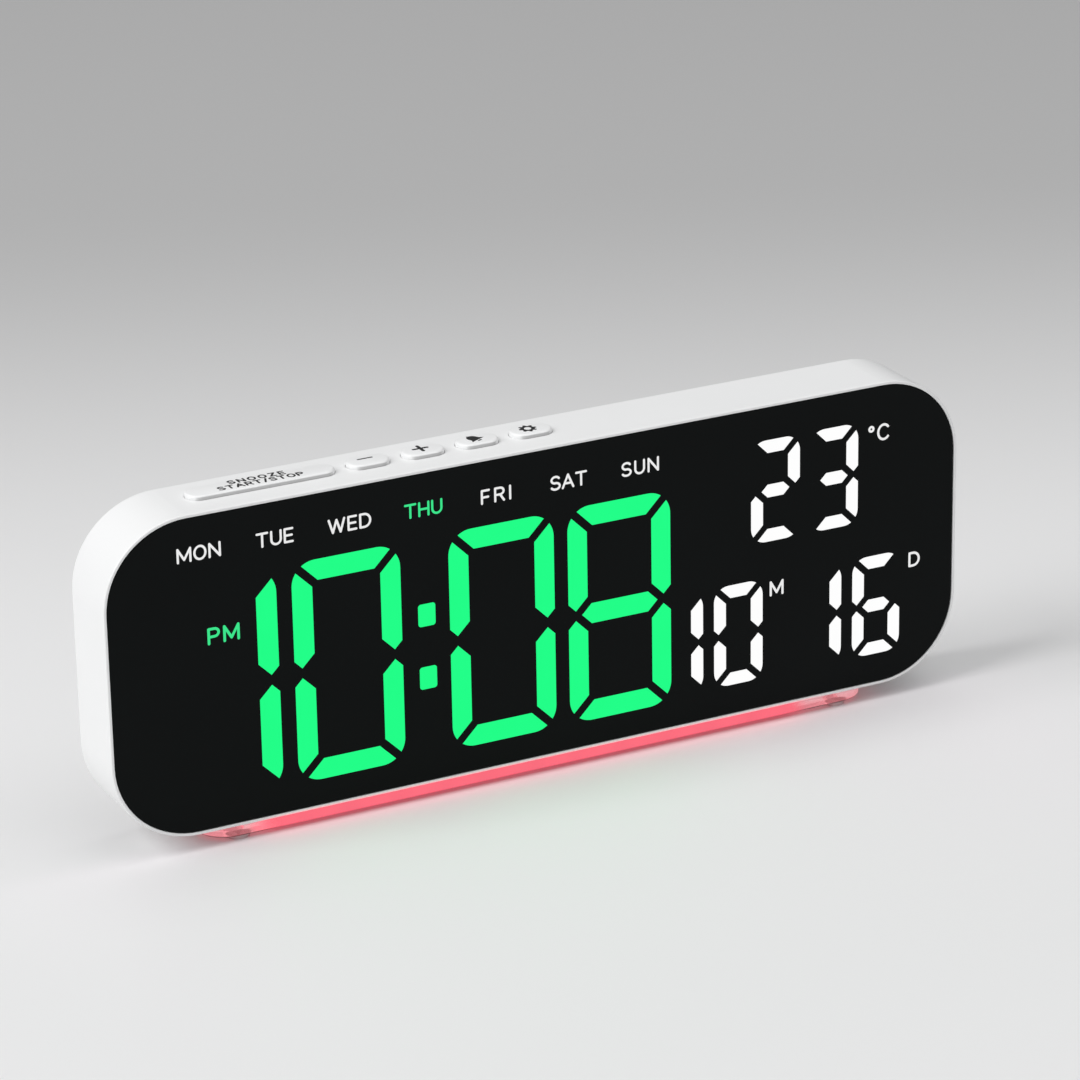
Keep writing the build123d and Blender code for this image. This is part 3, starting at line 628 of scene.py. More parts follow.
@dataclass(frozen=True)
class Metal(Finish):
    """Bare metal with fine lines, light wear and a few dull spots."""

    colour: Colour
    roughness: float = 0.28
    lines: Drawn = Drawn.NONE
    line_size: float = 0.12
    line_gloss: float = 0.14
    line_share: float = 0.5
    depth: float = 0.004
    wear: float = 2.5
    wear_gloss: Range = (0.5, 0.75, 0.0, 0.16)
    mottle: float = 0.10
    detail: float = 3.0

    def shader(self, sheet: Sheet) -> bpy.types.Node:
        """Lays the finish down.

        Args:
            sheet: The material's nodes.

        Returns:
            The shader.
        """
        lines = sheet.cloud(self.line_size, self.detail, self.lines.value)
        wear = sheet.cloud(self.wear, self.detail)
        return sheet.surface(
            Base_Color=sheet.tone(self.colour, self.mottle, lines.blend(wear, self.line_share)),
            Metallic=1.0,
            Roughness=(lines.swing(self.line_gloss) + wear.between(*self.wear_gloss)
                       + self.roughness),
            Normal=sheet.bump(lines, self.depth),
        )


@dataclass(frozen=True)
class Board(Finish):
    """Circuit board: solder mask over copper tracks, with a weave just showing and tinned pads."""

    mask: Colour
    track: Colour
    pitch: float = 2.6
    tin: Colour = (0.62, 0.60, 0.55)
    track_stretch: Triple = (1.0, 1.0, 0.45)
    track_edge: Point = (0.10, 0.16)
    track_share: float = 0.8
    track_gloss: float = 0.04
    pad_pitches: float = 1.7
    pad_edge: Point = (0.10, 0.13)
    pad_metal: float = 0.9
    weave: float = 0.45
    weave_mottle: float = 0.12
    weave_gloss: float = 0.12
    roughness: float = 0.26
    depth: float = 0.03

    def shader(self, sheet: Sheet) -> bpy.types.Node:
        """Lays the finish down.

        Args:
            sheet: The material's nodes.

        Returns:
            The shader.
        """
        ways = sheet.cells(self.pitch, "DISTANCE_TO_EDGE", self.track_stretch)
        tracks = ways.fall(*self.track_edge)
        pads = sheet.cells(self.pitch * self.pad_pitches).fall(*self.pad_edge)
        weave = sheet.cloud(self.weave)
        mask = sheet.tone(self.mask, self.weave_mottle, weave)
        return sheet.surface(
            Base_Color=sheet.mix(pads, sheet.mix(tracks, mask, self.track), self.tin),
            Metallic=pads * self.pad_metal,
            Roughness=weave * self.weave_gloss + tracks * self.track_gloss + self.roughness,
            Normal=sheet.bump(tracks.blend(weave, self.track_share), self.depth),
        )


@dataclass(frozen=True)
class Floor(Finish):
    """A plain pale table top with a very fine texture, and painted shade that darkens it slowly to
    the back.

    Before the clock it is a little lighter and warmer: painted light, which evens out the green
    cast of the lit digits.
    """

    name: str = "table_top"
    near: Colour = (0.82, 0.82, 0.822)
    # Painted light before the clock: its colour and where it starts, stops and fades at the sides.
    before: Colour = (0.855, 0.840, 0.852)
    before_start: Point = (-130.0, -20.0)
    before_stop: Point = (0.0, -8.0)
    before_side: Point = (130.0, 80.0)
    # Painted shade towards the back: its colour, where it falls and how it leans.
    far: Colour = (0.50, 0.50, 0.50)
    far_range: Point = (60.0, 420.0)
    far_lean: float = 0.4
    mottle: float = 0.012
    patch: float = 140.0
    patch_share: float = 0.7
    fine: Layer = (1.2, 3.0)
    fine_gloss: float = 0.1
    roughness: float = 0.5
    depth: float = 0.01
    shine: float = 0.3

    def shader(self, sheet: Sheet) -> bpy.types.Node:
        """Lays the finish down.

        Args:
            sheet: The material's nodes.

        Returns:
            The shader.
        """
        fine = sheet.cloud(*self.fine)
        patch = sheet.cloud(self.patch)
        # Painted shade: the floor gets darker towards the back.
        far = (sheet.axis("Y") + sheet.axis("X") * self.far_lean).between(*self.far_range)
        # Painted light: the floor is lighter and warmer before the clock.
        before = (sheet.axis("Y").between(*self.before_start)
                  * sheet.axis("Y").between(*self.before_stop)
                  * sheet.axis("X").size().between(*self.before_side))
        plain = sheet.tone(self.near, self.mottle, patch.blend(fine, self.patch_share))
        return sheet.surface(
            Base_Color=sheet.mix(far, sheet.mix(before, plain, self.before), self.far),
            Roughness=fine * self.fine_gloss + self.roughness,
            Normal=sheet.bump(fine, self.depth),
            Specular_IOR_Level=self.shine,
        )


class Palette:
    """The finishes of the clock, each made once when it is first asked for."""

    FINISHES: tuple[Finish, ...] = (
        Shell("case_white", (0.86, 0.865, 0.865), roughness=0.42, grain=0.28, depth=0.008,
              mottle=0.012),
        Cap("key_white", (0.87, 0.875, 0.875), roughness=0.36, grain=0.25, depth=0.006,
            mottle=0.010),
        SmokedLens(),
        Moulded("film_white", (0.82, 0.82, 0.82), roughness=0.6, grain=0.5, mottle=0.02),
        Moulded("housing_white", (0.78, 0.78, 0.77), roughness=0.55, grain=0.4, depth=0.02,
                mottle=0.02),
        Lit("segment_green", (0.0150, 1.0, 0.244)),
        Lit("segment_white", (1.0, 1.0, 1.0)),
        Lit("letter_white", (0.83, 0.83, 0.83)),
        Lit("letter_green", (0.045, 0.79, 0.262)),
        Moulded("chip_amber", (0.80, 0.66, 0.25), roughness=0.30, grain=0.5, depth=0.02,
                mottle=0.06),
        Board("board_green", (0.012, 0.10, 0.045), (0.03, 0.19, 0.08)),
        Board("board_white", (0.70, 0.70, 0.68), (0.60, 0.60, 0.58), pitch=3.4),
        Metal("screw_steel", (0.50, 0.50, 0.51), roughness=0.32),
        Moulded("black_resin", (0.018, 0.018, 0.019), roughness=0.50, grain=0.20, depth=0.015,
                mottle=0.10),
        Metal("bright_metal", (0.72, 0.72, 0.73), roughness=0.20, lines=Drawn.DEEP),
        Metal("can_aluminium", (0.68, 0.68, 0.69), roughness=0.30, lines=Drawn.UP),
        Moulded("buzzer_black", (0.022, 0.022, 0.023), roughness=0.42, depth=0.012, mottle=0.10),
        Moulded("sensor_bead", (0.02, 0.035, 0.08), roughness=0.15, grain=0.6, mottle=0.15),
        Moulded("switch_black", (0.030, 0.030, 0.031), roughness=0.48, depth=0.015, mottle=0.10),
        Moulded("plunger_black", (0.025, 0.025, 0.026), roughness=0.40, mottle=0.10),
        Metal("cell_steel", (0.63, 0.63, 0.62), roughness=0.24, lines=Drawn.ACROSS),
        Metal("contact_nickel", (0.66, 0.64, 0.59), roughness=0.27, lines=Drawn.UP),
        Metal("contact_gold", (0.80, 0.58, 0.26), roughness=0.22, lines=Drawn.DEEP),
        Moulded("ribbon_grey", (0.36, 0.36, 0.38), roughness=0.55, grain=0.4, depth=0.02,
                mottle=0.06),
        LitAcrylic(),
        # The feet's pink is painted light, standing in for the lit plate's red glow round them.
        Moulded("foot_rubber", (0.60, 0.44, 0.45), roughness=0.70, grain=0.35, depth=0.03,
                mottle=0.12, shine=0.3),
        Ink(),
        Floor(),
    )

    def __init__(self) -> None:
        """Starts with no material made."""
        self.recipes = {finish.name: finish for finish in self.FINISHES}
        self.made: dict[str, bpy.types.Material] = {}

    def get(self, name: str) -> bpy.types.Material:
        """The material of a finish.

        Args:
            name: The finish's name.

        Returns:
            The material.
        """
        if name not in self.made:
            self.made[name] = self.recipes[name].material()
        return self.made[name]


# Modelling ----------------------------------------------------------------------------------------


class Meeting(Enum):
    """What becomes of a piece where another body meets it."""

    ADD = "UNION"
    CUT = "DIFFERENCE"


class Bench:
    """The bench where pieces are modelled and dressed. WELD is in metres, FLAT in radians."""

    WELD = 2e-7
    FLAT = math.radians(0.6)

    def __init__(self, palette: Palette) -> None:
        """Keeps the finishes at hand."""
        self.palette = palette

    @staticmethod
    def pick(piece: bpy.types.Object) -> None:
        """Selects one object alone and makes it the active one.

        Args:
            piece: The object.
        """
        bpy.ops.object.select_all(action="DESELECT")
        piece.select_set(True)
        bpy.context.view_layer.objects.active = piece

    @staticmethod
    def newest(name: str) -> bpy.types.Object:
        """The object that an operator has just added.

        Args:
            name: The name that it gets.

        Returns:
            The object.
        """
        piece = bpy.context.active_object
        piece.name = name
        piece.data.name = name
        return piece

    @staticmethod
    def place(name: str, data: bpy.types.ID) -> bpy.types.Object:
        """Puts data into the scene as an object.

        Args:
            name: The object's name.
            data: Its mesh, curve, light or camera.

        Returns:
            The object.
        """
        made = bpy.data.objects.new(name, data)
        bpy.context.scene.collection.objects.link(made)
        return made

    @staticmethod
    def open(piece: bpy.types.Object) -> None:
        """Opens a piece in edit mode with all of it selected.

        Args:
            piece: The piece.
        """
        Bench.pick(piece)
        bpy.ops.object.mode_set(mode="EDIT")
        bpy.ops.mesh.select_all(action="SELECT")

    @staticmethod
    def close() -> None:
        """Leaves edit mode."""
        bpy.ops.object.mode_set(mode="OBJECT")

    @staticmethod
    def choose(piece: bpy.types.Object, faces: Callable[[Any], bool] | None = None,
               edges: Callable[[Any], bool] | None = None) -> None:
        """Opens a piece in edit mode with only the wanted faces or edges selected.

        Args:
            piece: The piece.
            faces: A test of a face, or None.
            edges: A test of an edge, or None.
        """
        Bench.pick(piece)
        bpy.ops.object.mode_set(mode="EDIT")
        bpy.ops.mesh.select_mode(type="FACE" if faces else "EDGE")
        bpy.ops.mesh.select_all(action="DESELECT")
        mesh = bmesh.from_edit_mesh(piece.data)
        for element in filter(faces or edges, mesh.faces if faces else mesh.edges):
            element.select_set(True)
        mesh.select_flush_mode()
        bmesh.update_edit_mesh(piece.data)

    @staticmethod
    def turn_out(piece: bpy.types.Object) -> None:
        """Turns all faces of a closed piece outwards.

        Args:
            piece: The piece.
        """
        Bench.open(piece)
        bpy.ops.mesh.normals_make_consistent(inside=False)
        Bench.close()

    @staticmethod
    def modify(piece: bpy.types.Object, kind: str, **settings: Any) -> None:
        """Adds a modifier and applies it.

        Args:
            piece: The piece.
            kind: The modifier's type.
            settings: Its settings.
        """
        Bench.pick(piece)
        modifier = piece.modifiers.new(kind.title(), kind)
        for key, value in settings.items():
            setattr(modifier, key, value)
        bpy.ops.object.modifier_apply(modifier=modifier.name)

    @staticmethod
    def meet(piece: bpy.types.Object, other: bpy.types.Object, way: Meeting) -> None:
        """Adds another body to a piece or cuts it out of it, and throws the other away."""
        Bench.modify(piece, "BOOLEAN", operation=way.value, solver="EXACT", object=other)
        bpy.data.objects.remove(other)

    @staticmethod
    def settle(piece: bpy.types.Object, smooth: float | None = None) -> None:
        """Puts a piece's place into its mesh and smooths its gentle edges.

        Args:
            piece: The piece.
            smooth: Edges flatter than this many degrees are smoothed; None leaves them.
        """
        Bench.pick(piece)
        bpy.ops.object.transform_apply(location=True, rotation=True, scale=True)
        if smooth is not None:
            bpy.ops.object.shade_smooth_by_angle(angle=math.radians(smooth))

    @staticmethod
    def soften(piece: bpy.types.Object, edges: Callable[[Any], bool], offset: float,
               segments: int) -> None:
        """Rounds some edges of a piece.

        Args:
            piece: The piece.
            edges: A test of an edge.
            offset: How far the rounding reaches, in millimetres.
            segments: Into how many faces it is cut.
        """
        Bench.choose(piece, edges=edges)
        bpy.ops.mesh.bevel(offset=offset * MM, segments=segments)
        Bench.close()

    @staticmethod
    def block(name: str, size: Triple = (PER_METRE, PER_METRE, PER_METRE),
              middle: Triple = (0.0, 0.0, 0.0)) -> bpy.types.Object:
        """Adds a block.

        Args:
            name: Its name.
            size: Its sizes in millimetres.
            middle: Its middle in metres.

        Returns:
            The block.
        """
        bpy.ops.object.select_all(action="DESELECT")
        bpy.ops.mesh.primitive_cube_add(size=1.0)
        made = Bench.newest(name)
        made.scale = tuple(length * MM for length in size)
        made.location = middle
        Bench.settle(made)
        return made

    @staticmethod
    def join(pieces: Sequence[bpy.types.Object], name: str) -> bpy.types.Object:
        """Joins several objects into one.

        Args:
            pieces: The objects.
            name: The name of the whole.

        Returns:
            The whole.
        """
        Bench.pick(pieces[0])
        for piece in pieces[1:]:
            piece.select_set(True)
        bpy.ops.object.join()
        pieces[0].name = name
        return pieces[0]

    @staticmethod
    def copy(node: str, name: str) -> bpy.types.Object:
        """A copy of a CAD node with its loose triangles merged into whole faces.

        Args:
            node: The CAD node.
            name: The copy's name.

        Returns:
            The copy, with a mesh of its own.
        """
        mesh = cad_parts[node].data.copy()
        piece = Bench.place(name, mesh)
        mesh.materials.clear()
        Bench.open(piece)
        bpy.ops.mesh.remove_doubles(threshold=Bench.WELD)
        bpy.ops.mesh.dissolve_limited(angle_limit=Bench.FLAT)
        Bench.close()
        if mesh.has_custom_normals:
            bpy.ops.mesh.customdata_custom_splitnormals_clear()
        return piece

    @staticmethod
    def bodies(piece: bpy.types.Object) -> list[tuple[Vector, Vector, set[int]]]:
        """The separate bodies of a mesh.

        Args:
            piece: The piece.

        Returns:
            For each body its lowest and highest corner and the numbers of its vertices.
        """
        mesh = bmesh.new()
        mesh.from_mesh(piece.data)
        mesh.verts.ensure_lookup_table()
        left, found = set(range(len(mesh.verts))), []
        while left:
            stack, body = [left.pop()], set()
            while stack:
                here = stack.pop()
                body.add(here)
                for edge in mesh.verts[here].link_edges:
                    other = edge.other_vert(mesh.verts[here]).index
                    if other in left:
                        left.remove(other)
                        stack.append(other)
            points = [mesh.verts[i].co for i in body]
            low = Vector([min(p[k] for p in points) for k in range(3)])
            high = Vector([max(p[k] for p in points) for k in range(3)])
            found.append((low, high, body))
        mesh.free()
        return found

    def paint(self, piece: bpy.types.Object, finish: str) -> None:
        """Gives an object one finish all over."""
        piece.data.materials.clear()
        piece.data.materials.append(self.palette.get(finish))

    def dress(self, node: str, finish: str) -> None:
        """Gives a CAD node a better material through its object's slots.

        Args:
            node: The node.
            finish: Its finish.
        """
        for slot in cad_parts[node].material_slots:
            slot.link = "OBJECT"
            slot.material = self.palette.get(finish)
        log.info("%s: finish %s", node, finish)

    def mount(self, piece: bpy.types.Object, finish: str, slot: str, body: str = "clock",
              stands_for: str | None = None) -> None:
        """Dresses a finished piece and lets it ride on its body.

        Args:
            piece: The piece, in place.
            finish: Its finish.
            slot: The record's material slot; not used.
            body: The body that it moves with.
            stands_for: The CAD node that it takes the place of, if any.
        """
        self.paint(piece, finish)
        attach(piece, body)
        if stands_for:
            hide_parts(stands_for)
        log.info("%s: rides on %s, %d faces", piece.name, body, len(piece.data.polygons))


# Lettering ----------------------------------------------------------------------------------------


class Face(Enum):
    """A face of the clock: the axes across, up and out of it, and the side that out is on."""

    FRONT = (0, 2, 1, -1)
    TOP = (0, 1, 2, 1)
    BACK = (0, 2, 1, 1)
    UNDER = (0, 1, 2, -1)

    @property
    def out(self) -> int:
        """The axis out of the face."""
        return self.value[2]

    @property
    def side(self) -> int:
        """The side of that axis: 1 or -1."""
        return self.value[3]

    def at(self, across: float, up: float, out: float) -> Triple:
        """Puts three measures in the order of X, Y and Z.

        Args:
            across: The measure across the face.
            up: The measure up the face.
            out: The measure out of the face.

        Returns:
            The three in order.
        """
        place = [0.0, 0.0, 0.0]
        for axis, measure in zip(self.value, (across, up, out)):
            place[axis] = measure
        return tuple(place)


@dataclass(frozen=True)
class Arc:
    """Part of an ellipse in its letter's or sign's own units, with its angles in degrees."""

    x: float
    up: float
    wide: float
    high: float
    start: float = 0.0
    end: float = 360.0
    step: float = 15.0

    def points(self) -> list[Point]:
        """Points along the arc.

        Returns:
            The points, about a step apart.
        """
        sweep = self.end - self.start
        count = max(2, round(abs(sweep) / self.step))
        turns = [math.radians(self.start + sweep * i / count) for i in range(count + 1)]
        return [(self.x + self.wide * math.cos(t), self.up + self.high * math.sin(t))
                for t in turns]


Stroke = tuple[Any, ...]
STEM: Stroke = ((0, 0), (0, 1))


def bowl(run: float, wide: float, low: float) -> Stroke:
    """A bowl at the right of a stem.

    Args:
        run: The length of its straight parts.
        wide: How far it bulges past them.
        low: How far up its lower side lies.

    Returns:
        The stroke from the stem's top, round and back to the stem.
    """
    arc = Arc(run, (1 + low) / 2, wide, (1 - low) / 2, 75, -75)
    return ((0, 1), (run, 1), arc, (run, low), (0, low))


LETTERS: dict[str, tuple[float, tuple[Stroke, ...]]] = {
    "A": (0.88, (((0, 0), (0.44, 1)), ((0.44, 1), (0.88, 0)), ((0.15, 0.33), (0.73, 0.33)))),
    "C": (0.78, ((Arc(0.42, 0.5, 0.42, 0.5, 42, 318),),)),
    "D": (0.80, (STEM, bowl(0.32, 0.48, 0))),
    "E": (0.61, (STEM, ((0, 1), (0.61, 1)), ((0, 0.5), (0.55, 0.5)), ((0, 0), (0.61, 0)))),
    "F": (0.58, (STEM, ((0, 1), (0.58, 1)), ((0, 0.48), (0.52, 0.48)))),
    "H": (0.745, (STEM, ((0.745, 0), (0.745, 1)), ((0, 0.5), (0.745, 0.5)))),
    "I": (0.0, (STEM,)),
    "M": (0.98, (STEM, ((0, 1), (0.49, 0.16)), ((0.49, 0.16), (0.98, 1)), ((0.98, 1), (0.98, 0)))),
    "N": (0.80, (STEM, ((0, 1), (0.80, 0)), ((0.80, 0), (0.80, 1)))),
    "O": (0.86, ((Arc(0.43, 0.5, 0.43, 0.5),),)),
    "P": (0.70, (STEM, bowl(0.40, 0.30, 0.46))),
    "R": (0.72, (STEM, bowl(0.40, 0.30, 0.48), ((0.40, 0.48), (0.72, 0)))),
    "S": (0.72, ((Arc(0.36, 0.745, 0.33, 0.255, 28, 255), (0.36, 0.5),
                  Arc(0.36, 0.255, 0.36, 0.255, 75, -152)),)),
    "T": (0.82, (((0, 1), (0.82, 1)), ((0.41, 1), (0.41, 0)))),
    "U": (0.745, (((0, 1), (0, 0.37), Arc(0.3725, 0.37, 0.3725, 0.37, 190, 350),
                   (0.745, 0.37), (0.745, 1)),)),
    "W": (1.235, (((0, 1), (0.31, 0)), ((0.31, 0), (0.6175, 0.96)),
                  ((0.6175, 0.96), (0.925, 0)), ((0.925, 0), (1.235, 1)))),
    "Z": (0.70, (((0, 1), (0.70, 1)), ((0.70, 1), (0, 0)), ((0, 0), (0.70, 0)))),
    "/": (0.40, (((0, -0.04), (0.40, 1.04)),)),
    "o": (0.30, ((Arc(0.15, 0.83, 0.15, 0.15),),)),
}
"""Each letter's width and strokes, in shares of its height."""


@dataclass(frozen=True)
class Word:
    """A word of even strokes with round ends, fitted to a width by its spacing. Millimetres."""

    text: str
    across: float
    low: float
    wide: float
    high: float
    thick: float = 0.45

    def strokes(self) -> list[list[Point]]:
        """Lays out the word.

        Returns:
            The middle lines of all strokes.
        """
        unit = self.high - self.thick
        widths = [LETTERS[letter][0] * unit for letter in self.text]
        spaces = len(self.text) - 1
        space = (self.wide - self.thick - sum(widths)) / spaces if spaces else 0.0
        x = self.across - (sum(widths) + space * spaces) / 2
        lines = []
        for letter, width in zip(self.text, widths):
            for stroke in LETTERS[letter][1]:
                path: list[Point] = []
                for item in stroke:
                    path += item.points() if isinstance(item, Arc) else [item]
                lines.append([(x + px * unit, self.low + self.thick / 2 + up * unit)
                              for px, up in path])
            x += width + space
        return lines


class Lettering:
    """Makes lettering and signs as thin strokes that lie on a face.

    CAP_TURNS and SMOOTH are in degrees, SAME is in millimetres and SUNK in metres.
    """

    CAP_TURNS = (75.0, 50.0, 25.0)
    SAME = 1e-6
    SMOOTH = 60.0
    SUNK = 5e-6
    ROUNDNESS = 2

    def __init__(self, bench: Bench) -> None:
        """Keeps the bench."""
        self.bench = bench

    @staticmethod
    def _end(end: Point, inner: Point, half: float) -> list[Triple]:
        """Rounds one end of a path.

        Args:
            end: The path's end.
            inner: The point before it.
            half: Half the stroke's thickness.

        Returns:
            Points past the end, the farthest first, with the share of the thickness there.
        """
        run = Vector(end) - Vector(inner)
        run.normalize()
        turns = [math.radians(t) for t in Lettering.CAP_TURNS]
        return [(end[0] + run.x * half * math.sin(t), end[1] + run.y * half * math.sin(t),
                 math.cos(t)) for t in turns]

    @staticmethod
    def _rounded(path: list[Point], half: float) -> list[Triple]:
        """Adds round ends to a path.

        Args:
            path: The stroke's middle line.
            half: Half its thickness.

        Returns:
            Points as across, up and the share of the thickness there.
        """
        body = [(x, up, 1.0) for x, up in path]
        return (Lettering._end(path[0], path[1], half) + body
                + Lettering._end(path[-1], path[-2], half)[::-1])

    def draw(self, name: str, lines: Iterable[list[Point]], thick: float, face: Face, level: float,
             proud: float) -> bpy.types.Object:
        """Makes one mesh of strokes.

        Args:
            name: The piece's name.
            lines: Middle lines in millimetres, across and up.
            thick: Their thickness in millimetres.
            face: The face that they lie on.
            level: Where that face is along its out axis, in metres.
            proud: How far the strokes stand proud of it, in metres.

        Returns:
            The piece.
        """
        half = thick / 2
        data = bpy.data.curves.new(name, "CURVE")
        data.dimensions = "3D"
        data.bevel_depth = half * MM
        data.bevel_resolution = self.ROUNDNESS
        data.use_fill_caps = True
        for line in lines:
            closed = math.dist(line[0], line[-1]) < self.SAME
            points = [(x, z, 1.0) for x, z in line[:-1]] if closed else self._rounded(line, half)
            spline = data.splines.new("POLY")
            spline.points.add(len(points) - 1)
            spline.use_cyclic_u = closed
            for point, (x, z, radius) in zip(spline.points, points):
                point.co = (*face.at(x * MM, z * MM, 0.0), 1.0)
                point.radius = radius
        self.bench.pick(self.bench.place(name, data))
        bpy.ops.object.convert(target="MESH")
        piece = self.bench.newest(name)
        piece.scale = face.at(1.0, 1.0, proud / (half * MM))
        piece.location = face.at(0.0, 0.0, level)
        self.bench.settle(piece, self.SMOOTH)
        self.bench.turn_out(piece)
        return piece

    def fill(self, name: str, outline: list[Point], face: Face, level: float,
             proud: float) -> bpy.types.Object:
        """Makes one thin filled form.

        Args:
            name: The piece's name.
            outline: Its outline in millimetres, across and up.
            face: The face that it lies on.
            level: Where that face is, in metres.
            proud: How far the form stands proud of it, in metres.

        Returns:
            The piece.
        """
        middle = [sum(p[k] for p in outline) / len(outline) for k in (0, 1)]
        bpy.ops.object.select_all(action="DESELECT")
        bpy.ops.mesh.primitive_circle_add(vertices=len(outline), radius=MM, fill_type="NGON")
        piece = self.bench.newest(name)
        for vertex, (x, z) in zip(piece.data.vertices, outline):
            vertex.co = face.at((x - middle[0]) * MM, (z - middle[1]) * MM, -face.side * self.SUNK)
        self.bench.choose(piece, faces=lambda f: True)
        move = face.at(0.0, 0.0, face.side * (proud + self.SUNK))
        bpy.ops.mesh.extrude_region_move(TRANSFORM_OT_translate={"value": move})
        self.bench.close()
        self.bench.turn_out(piece)
        piece.location = face.at(middle[0] * MM, middle[1] * MM, level)
        self.bench.settle(piece)
        return piece


# Sub-assemblies -----------------------------------------------------------------------------------


@dataclass
class Housing:
    """The case with its cover and all that is fixed inside it, by finish."""

    bench: Bench
    nodes: dict[str, tuple[str, ...]] = field(default_factory=lambda: {
        "case_white": ("case", "back_cover"),
        "smoked_lens": ("lens",),
        "film_white": ("diffuser_film", "time_segments", "date_segments"),
        "housing_white": ("light_housing",),
        "chip_amber": ("display_chips", "glow_chips"),
        "board_green": ("main_board",),
        "board_white": ("glow_board",),
        "screw_steel": ("board_screws",),
        "black_resin": ("controller", "regulator", "inlet_tongue"),
        "bright_metal": ("crystal", "power_inlet"),
        "can_aluminium": ("capacitors",),
        "buzzer_black": ("buzzer",),
        "sensor_bead": ("heat_sensor",),
        "switch_black": ("key_switches",),
        "plunger_black": ("snooze_plunger", "minus_plunger", "plus_plunger", "alarm_plunger",
                          "set_plunger"),
        "ribbon_grey": ("glow_link",),
        "foot_rubber": ("feet",),
        "lit_acrylic": ("light_plate",),
        "cell_steel": ("backup_cell",),
        "contact_nickel": ("floor_contact", "side_contact"),
    })

    def build(self) -> None:
        """Dresses the solids that stay as they are."""
        for finish, nodes in self.nodes.items():
            for node in nodes:
                self.bench.dress(node, finish)


@dataclass(frozen=True)
class Numeral:
    """One numeral of the display, placed by shares of the window."""

    shows: str
    across: float
    up: float
    wide: float
    high: float

    LIT = {"0": "abcdef", "1": "bc", "2": "abged", "3": "abgcd", "6": "afgedc", "8": "abcdefg"}
    EDGE = 1.02
    LEVEL_BARS = 0.4
    MIDDLE_BAR = 0.3

    def lights(self, across: float, up: float) -> bool | None:
        """Whether the bar at a place is lit.

        Args:
            across: The bar's middle, in shares of the window.
            up: The same, up from the window's middle.

        Returns:
            True or False, or None where the place isn't in this numeral.
        """
        u = (across - self.across) / (self.wide / 2)
        v = (up - self.up) / (self.high / 2)
        if abs(u) > self.EDGE or abs(v) > self.EDGE:
            return None
        if abs(u) < self.LEVEL_BARS:
            bar = "g" if abs(v) < self.MIDDLE_BAR else ("a" if v > 0 else "d")
        else:
            bar = ("b" if v > 0 else "c") if u > 0 else ("f" if v > 0 else "e")
        return bar in self.LIT[self.shows]


